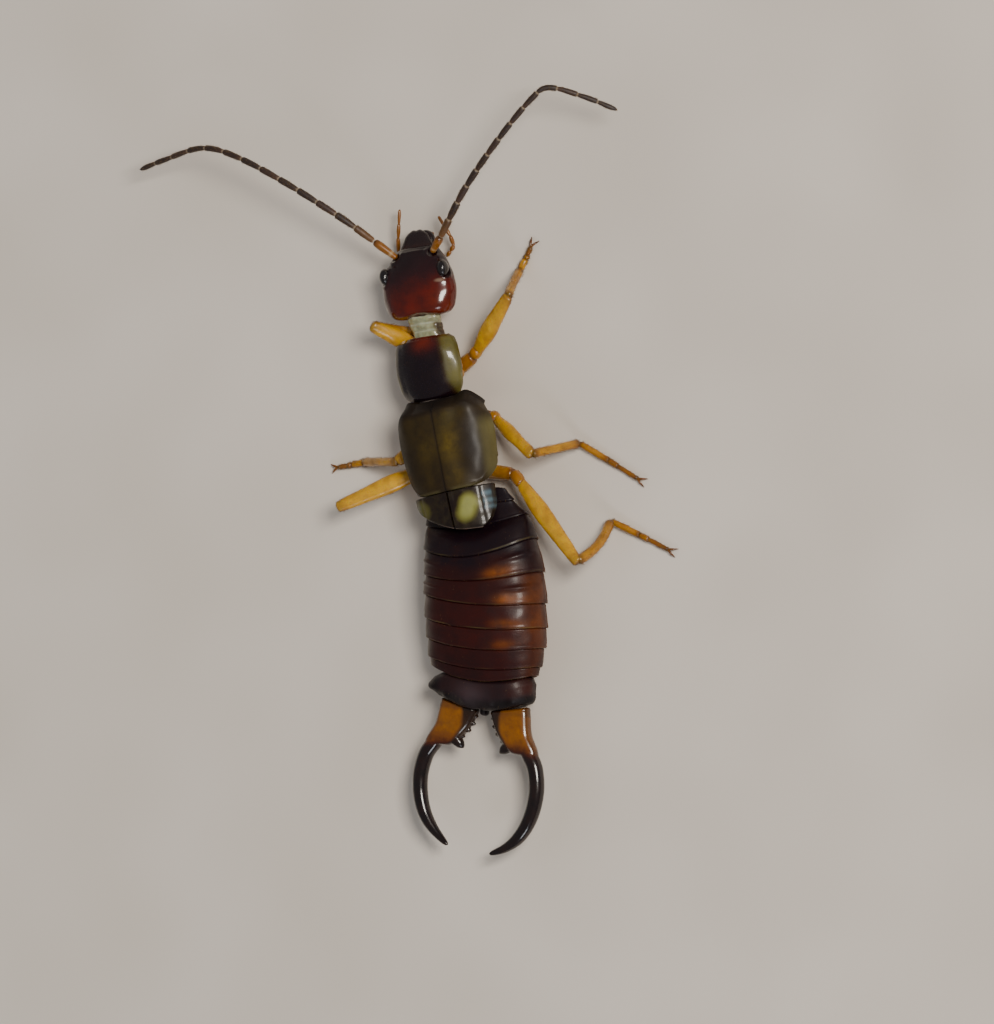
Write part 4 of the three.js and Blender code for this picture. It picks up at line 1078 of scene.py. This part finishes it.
def make_abdomen(finish):
    """Plates that slide under one another, each with a raised smooth lip, and a fold to the belly."""
    last = PLATE_ENDS[-1] + 0.04
    near_ends = [end + np.linspace(-0.03, 0.05, 12) for end in PLATE_ENDS]
    back = np.unique(np.concatenate([np.linspace(0, last, 300), *near_ends]))
    back = back[(back >= 0) & (back <= last)]
    half = through((0, 1.26), (0.5, 1.45), (1.25, 1.69), (2.0, 1.8), (2.7, 1.88), (3.4, 1.94), (4.1, 1.94),
                   (4.8, 1.89), (5.3, 1.82), (5.7, 1.71))(back)
    top = through((0, 1.47), (0.5, 1.58), (1.15, 1.69), (1.5, 1.95), (2.1, 2.17), (3.0, 2.27), (4.2, 2.13),
                  (5.7, 1.7))(back)
    bottom = through((0, 1.29), (0.5, 0.99), (1.0, 0.63), (1.7, 0.26), (2.9, 0.0), (4.5, 0.0),
                     (5.7, 0.31))(back)
    lean = through((0, 3), (1.2, 6), (2.0, 5), (2.7, 1.3), (3.4, -4.5), (5.3, -5.5),
                   (5.7, TAIL["turn"]))(back)
    bow = through((0, 0), (0.6, 0.04), (1.6, 0.36), (2.0, 0.39), (2.7, 0.24), (3.4, 0.17), (5.2, 0.2),
                  (5.7, TAIL_BOW + 0.03))(back)
    y = ABDOMEN_FRONT - back
    line = abdomen_line(y)
    middle = (top + bottom) / 2
    ends = np.array(PLATE_ENDS)
    plate = np.clip(np.searchsorted(ends, back - 1e-6), 0, len(ends) - 1)
    before = np.where(plate > 0, ends[plate - 1], 0.0)
    phase = np.clip((back - before) / (ends[plate] - before), 0, 1.2)
    close = round_ends(back, 0.12, 0.05)
    swell = -0.055 + 0.05 * smooth(0.0, 0.85, phase) - 0.03 * hump(back - before - 0.015, 0.02) * (plate > 0)
    swell = (swell + 0.012 * hump(phase - 0.93, 0.05)) * np.minimum(1, back / 0.6)
    grid = ovals(y, half * close + swell, (top - middle) * close + swell,
                 (middle - bottom) * close + swell * 0.4, square=2.25, x=line, z=middle,
                 heading=np.radians(lean), bow=bow, sides=240)
    x = grid[..., 0] - line[:, None]
    z = grid[..., 2] - middle[:, None]
    side = x / half[:, None]
    row = back[:, None] + 0 * x
    phase_all = phase[:, None] + 0 * x
    fold = hump(z + 0.28, 0.05) * smooth(0.8, 0.95, np.abs(side))
    gland = hump(np.hypot(np.abs(side) - 0.8, 3.2 * (phase_all - 0.45)), 0.25)
    gland = gland * np.isin(plate, (3, 4))[:, None]
    height = 0.05 * gland * smooth(-0.1, 0.2, z) - 0.05 * fold
    height = height * smooth(0.2, 0.6, row) + 0.006 * grain(grid, 0.3, 17)
    grid = raised(grid, height)
    grid[..., 2] = np.maximum(grid[..., 2], 0.0)
    mark = row / last + 0.04 * grain(grid, 0.6, 18)
    late = smooth(2.7, 2.85, row)
    lip = smooth(0.86, 0.97, phase_all)
    above = smooth(-0.2, 0.1, z)
    cloud = 0.5 + 0.5 * grain(grid, 0.45, 19)
    # Painted glow of light on the right, lit side: amber patches at plate hind edges and a warm band along
    # the flank
    painted_glow = sum(strength * hump(np.hypot((side - place) / 0.2, (row - end + 0.15) / 0.13), 1)
                  for end, place, strength in PAINTED_GLOW_PATCHES)
    flank = smooth(0.7, 0.92, side) * late * (1 - 0.6 * smooth(4.0, 5.0, row))
    tint = painted_glow * (0.6 + 0.4 * cloud) + 0.3 * flank * (0.7 + 0.3 * cloud)
    tint = np.clip(tint * above + 0.25 * smooth(0.0, -0.35, z), 0, 0.8)
    edge = smooth(0.86, 0.98, -side) * smooth(1.9, 2.2, row) * above
    # Painted highlight: a thin pale line along each plate's hind lip, where the light catches it
    rim = hump(phase_all - 0.97, 0.02) * above * smooth(1.5, 1.8, row)
    pale = np.clip(0.3 * rim * cloud**2 + 0.5 * edge * (0.5 + 0.5 * cloud), 0, 0.7)
    mark = mark - 0.12 * lip * late
    piece("abdomen_plates", [Skin(grid, mark, tint, pale)], finish, "abdomen")
    return grid, lip * 0.8 + 0.1


def make_tail(finish):
    """The last plate: flared front corners, a middle groove, and four low bumps over the pincers' roots."""
    wide = TAIL_HALF_WIDTH - 0.02
    back = stations(-0.1, TAIL_LENGTH, 150)
    half = through((-0.1, wide * 0.9), (0.0, wide * 0.95), (0.15, wide), (0.4, wide * 0.94),
                   (0.75, wide * 0.87))(back)
    up = through((-0.1, 0.66), (0.0, 0.72), (0.3, 0.7), (0.75, 0.49))(back)
    down = through((-0.1, 0.6), (0.0, 0.65), (0.3, 0.61), (0.75, 0.43))(back)
    close = round_ends(back, 0.05, 0.12)
    shrink = 0.85 + 0.15 * close
    grid = ovals(-back, half * shrink, up * shrink, down * shrink, square=2.5, bow=TAIL_BOW, sides=220)
    grid[..., 0] += (0.2 * smooth(0.15, 0.6, back) - 0.15)[:, None] * smooth(1.0, 1.6, grid[..., 0])
    left = smooth(-1.0, -1.6, grid[..., 0]) * (1 - smooth(0.15, 0.9, back))[:, None]
    grid[..., 0] -= 0.14 * left
    grid[..., 1] -= 0.3 * left
    x, yy, z = np.moveaxis(grid, -1, 0)
    row = back[:, None] + 0 * x
    above = smooth(0.0, 0.2, z)
    bumps = sum(hump(np.hypot(np.abs(x) - place, row - TAIL_LENGTH + 0.2), 0.14) for place in (0.4, 1.1))
    height = above * (0.05 * bumps - 0.05 * hump(x, 0.12) * smooth(0.3, 0.7, row))
    height += 0.03 * hump(row - 0.2, 0.12) * smooth(-1.2, -1.6, x)
    height -= 0.04 * hump(z + 0.15, 0.04) * smooth(1.3, 1.55, np.abs(x))
    grid = raised(grid, height + 0.006 * grain(grid, 0.25, 20))
    corner = smooth(-1.2, -1.5, x)
    mark = 0.3 + 0.6 * smooth(0.34, 0.56, row) + 0.1 * grain(grid, 0.5, 21) + 0.6 * corner
    sheen = 0.3 * hump(np.hypot((x + 0.2) * 0.7, row - 0.3), 0.35) * above
    tint = 0.3 * smooth(0.7, 1.3, x) * (1 - smooth(0.3, 0.5, row)) * above
    piece("last_plate", [Skin(carried(grid, TAIL), mark, tint, sheen)], finish, "last_tergite")
    s = stations(0, 0.22, 40)
    close = round_ends(s, 0.05, 0.08)
    small = ovals(-TAIL_LENGTH + 0.05 - s, (0.115 - 0.09 * s) * close, (0.19 - 0.2 * s) * close,
                  0.18 * close, square=2.8, z=0.02, sides=64)
    piece("tail_knob", [Skin(carried(small, TAIL), 0.8)], finish, "pygidium")
    return carried(grid, TAIL)


def make_pincers(finish):
    """Two hooks with flat, notched roots; the arms bow out and come back in to a blunt point."""
    turn = math.radians(TAIL["turn"])
    tail_at = np.array(TAIL["at"])
    for name, side in SIDES:
        reach, tip = PINCER_SIZE[name]

        def at(across, back, z=PINCER_LEVEL):
            return np.array([side * across, -TAIL_LENGTH - back * reach, z])

        back = stations(-0.04, 1.16, 70)
        middle = through((0.1, 0.84), (0.5, 0.98), (0.9, 1.24), (1.14, 1.44))(back)
        half = through((0.1, 0.61), (0.5, 0.57), (0.9, 0.53), (1.14, 0.43))(back)
        close = round_ends(back, 0.08, 0.06)
        deep = through((0.1, 0.28), (0.7, 0.27), (1.14, 0.22))(back) * (0.4 + 0.6 * close)
        root = ovals(-TAIL_LENGTH - back * reach, half * (0.75 + 0.25 * close), deep, deep, square=2.7,
                     x=side * middle, z=PINCER_LEVEL, sides=80)
        shear = 1 - smooth(GAP, 0.6, back)[:, None]
        root[..., 1] += shear * TAIL_BOW * (root[..., 0] / TAIL_HALF_WIDTH) ** 2
        bow = curve_points([at(1.38, 0.85), at(1.62, 1.18), at(1.81, 1.5), at(1.92, 2.0), at(1.91, 2.45),
                            at(1.81, 2.9), at(1.63, 3.3), at(1.38, 3.62), at(0.83 + tip / 3, 3.88),
                            at(tip, 4.08, 0.04)], 200)
        s = np.linspace(0, 1, 200)
        wide = through((0, 0.24), (0.5, 0.225), (0.7, 0.2), (0.88, 0.13), (0.97, 0.08), (1, 0.04))(s)
        arm = tube(bow, wide * round_ends(s, 0.02, 0.012), wide, 40)
        # Root and tip of each tooth as places across and back, and its half width
        teeth = ((0.9, 0.93, 0.59, 1.19, 0.14), (0.5, 0.2, 0.2, 0.22, 0.09), (0.5, 0.43, 0.26, 0.45, 0.07),
                 (0.6, 0.62, 0.39, 0.66, 0.08), (0.75, 0.82, 0.57, 0.86, 0.06))
        notches = [
            limb(at(x0, b0), at(x1, b1), through((0, r * 1.4), (0.6, r), (1, 0.03)), count=20, sides=16)
            for x0, b0, x1, b1, r in teeth
        ]
        grids = [carried(g, TAIL) for g in (root, arm, *notches)]

        def marks(places):
            away = places - tail_at
            x = side * (away[:, 0] * math.cos(turn) + away[:, 1] * math.sin(turn))
            down = (-TAIL_LENGTH + away[:, 0] * math.sin(turn) - away[:, 1] * math.cos(turn)) / reach
            cloud = 0.5 + 0.5 * grain(places, 0.5, 22 + side)
            late = down - 0.15 * (x - 1.2)
            mark = 0.06 + 0.34 * smooth(0.6, 1.2, late) + 0.5 * smooth(1.0, 1.6, late)
            inner_edge = through((0, 0.22), (0.5, 0.36), (0.9, 0.66), (1.2, 0.95), (1.5, 1.3))(down)
            band = through((0, 0.42), (0.5, 0.3), (1.0, 0.2))(down)
            inner = (1 - smooth(band - 0.1, band + 0.06, x - inner_edge)) * (1 - smooth(1.3, 1.6, down))
            outer_edge = through((-0.2, 1.43), (0.45, 1.52), (1.14, 1.88), (1.5, 2.0))(down)
            outer = smooth(0.16, 0.04, outer_edge - x) * (1 - smooth(1.2, 1.6, down))
            lump = np.clip(0.95 * inner + 0.45 * outer + 0.3 * smooth(0.12, 0.0, down), 0, 0.95)
            # Painted light: the upper side of each root is painted a paler amber, lit from above
            light = 0.2 * hump(np.hypot(x - 1.0, down - 0.4), 0.35) * cloud * (away[:, 2] > 0)
            return np.clip(mark, 0, 1), lump, light

        fused(f"pincer_hook_{name}", grids, marks, finish, f"pincer_{name}")


# Legs

def at_level(point, height):
    return np.array([point[0], point[1], height])


def make_leg(name, finish):
    """Hip, ring, flattened thigh, slim shin, a foot of three joints and two claws."""
    root, hip, knee, ankle, toe = (np.array(p) for p in LEGS[name])
    kind = name.split("_")[0]
    thigh, shin = THIGH[kind], SHIN[kind]
    foot = toe - ankle
    ahead = foot / np.linalg.norm(foot)
    aside = np.array([-ahead[1], ahead[0], 0])
    thigh_way = knee - hip
    ring_at = hip + thigh_way * 0.07

    def part(start, end, profile, flat, count, near, far, base, bow=(0, 0, 0), glint=0.0):
        """One joint, browned by near at its root, by far at its tip and by base all over."""
        grid = limb(start, end, profile, flat, count, 40, bow)
        s = stations(0, 1, count)[:, None]
        rise = outward(grid)[..., 2]
        mark = base + near * smooth(0.14, 0.0, s) + far * smooth(0.82, 1.0, s) + 0.1 * grain(grid, 0.5, 31)
        return Skin(raised(grid, 0.004 * grain(grid, 0.2, 30)), mark, glint * smooth(0.2, 0.95, rise))

    hip_shape = through((0, 0.16), (0.3, 0.22), (0.8, 0.2), (1, 0.15))
    ring_shape = through((0, 0.15), (0.5, 0.19), (1, 0.15))
    thigh_shape = through((0, 0.14), (0.1, thigh * 0.72), (0.38, thigh), (0.68, thigh * 0.84), (0.9, 0.19),
                          (1, 0.15))
    shin_shape = through((0, 0.12), (0.07, shin), (0.5, shin * 0.95), (0.92, shin), (1, 0.1))
    bow = SHIN_BOW.get(name, (0, 0, 0.05))
    skins = [
        part(root, hip, hip_shape, 1.0, 50, 0.2, 0.5, 0.4),
        part(hip - thigh_way * 0.02, ring_at + thigh_way * 0.06, ring_shape, 1.0, 30, 0.3, 0.4, 0.45),
        part(ring_at, knee + thigh_way * 0.02, thigh_shape, 0.66, 100, 0.35, 0.7, 0.12, glint=0.45),
        part(knee, ankle, shin_shape, 0.9, 90, 0.7, 0.45, 0.42, bow, 0.2),
    ]
    # Start and end of each joint as shares of the foot, its half width, and how far its tip flares
    lengths = ((0.0, 0.5, 0.1, 0.9), (0.48, 0.66, 0.085, 1.05), (0.62, 1.0, 0.07, 0.9))
    for i, (a, b, radius, flare) in enumerate(lengths):
        near_end = at_level(ankle + foot * a, 0.2 - 0.08 * smooth(0, 0.3, a))
        far_end = at_level(ankle + foot * b, FOOT_LEVEL)
        profile = through((0, radius * 0.8), (0.5, radius), (1, radius * flare))
        skins.append(part(near_end, far_end, profile, 0.9, 40, 0.3, 0.4, 0.4 + 0.16 * i))
    for side in (-1, 1):
        claw = curve_points([at_level(toe, FOOT_LEVEL),
                             toe + ahead * 0.14 + aside * side * 0.07 + np.array([0, 0, 0.03]),
                             toe + ahead * 0.27 + aside * side * 0.14 - np.array([0, 0, 0.06])], 24)
        claw[:, 2] = np.maximum(claw[:, 2], CLAW_LEVEL)
        s = np.linspace(0, 1, 24)
        wide = through((0, 0.04), (0.5, 0.032), (1, 0.008))(s)
        skins.append(Skin(tube(claw, wide, sides=16), 0.8 + 0.2 * s[:, None]))
    piece(f"{name}_joints", skins, finish, name)
    down = [sown(skins[3].grid, 420, 60, 0.11, 0.9, stand=0.5),
            sown(skins[2].grid, 260, 61, 0.07, 0.9, stand=0.3)]
    down += [sown(skin.grid, 170, 62 + i, 0.085, 0.9, stand=0.4) for i, skin in enumerate(skins[4:7])]
    return down


# The whole animal

amber = pale_limb_cuticle()
body_finish = tanned_body_cuticle()

make_head(tanned_head_cuticle())
make_eyes(faceted_eye_lens())
make_mouth(tanned_mouth_cuticle(), amber)
feeler_down = make_feelers(amber, haired_feeler_cuticle())
make_neck(soft_neck_skin())
make_prothorax(amber)
make_shield(shield_cuticle())
make_thorax(body_finish)
make_wing_cases(leathery_wing_case())
make_wing_tips(folded_wing_leather())
abdomen_grid, lips = make_abdomen(body_finish)
tail_grid = make_tail(tanned_tail_cuticle())
make_pincers(polished_pincer_cuticle())
leg_down = [tuft for name in LEGS for tuft in make_leg(name, amber)]

bristle = golden_bristle()
hairs("feeler_down", feeler_down, bristle, radius=0.003)
hairs("leg_bristles", leg_down, bristle, radius=0.004)
body_tufts = [sown(abdomen_grid, 2600, 70, 0.07, 0.95, stand=0.2, where=lips),
              sown(tail_grid, 110, 71, 0.06, 0.9, stand=0.3)]
hairs("body_bristles", body_tufts, bristle, radius=0.0022)
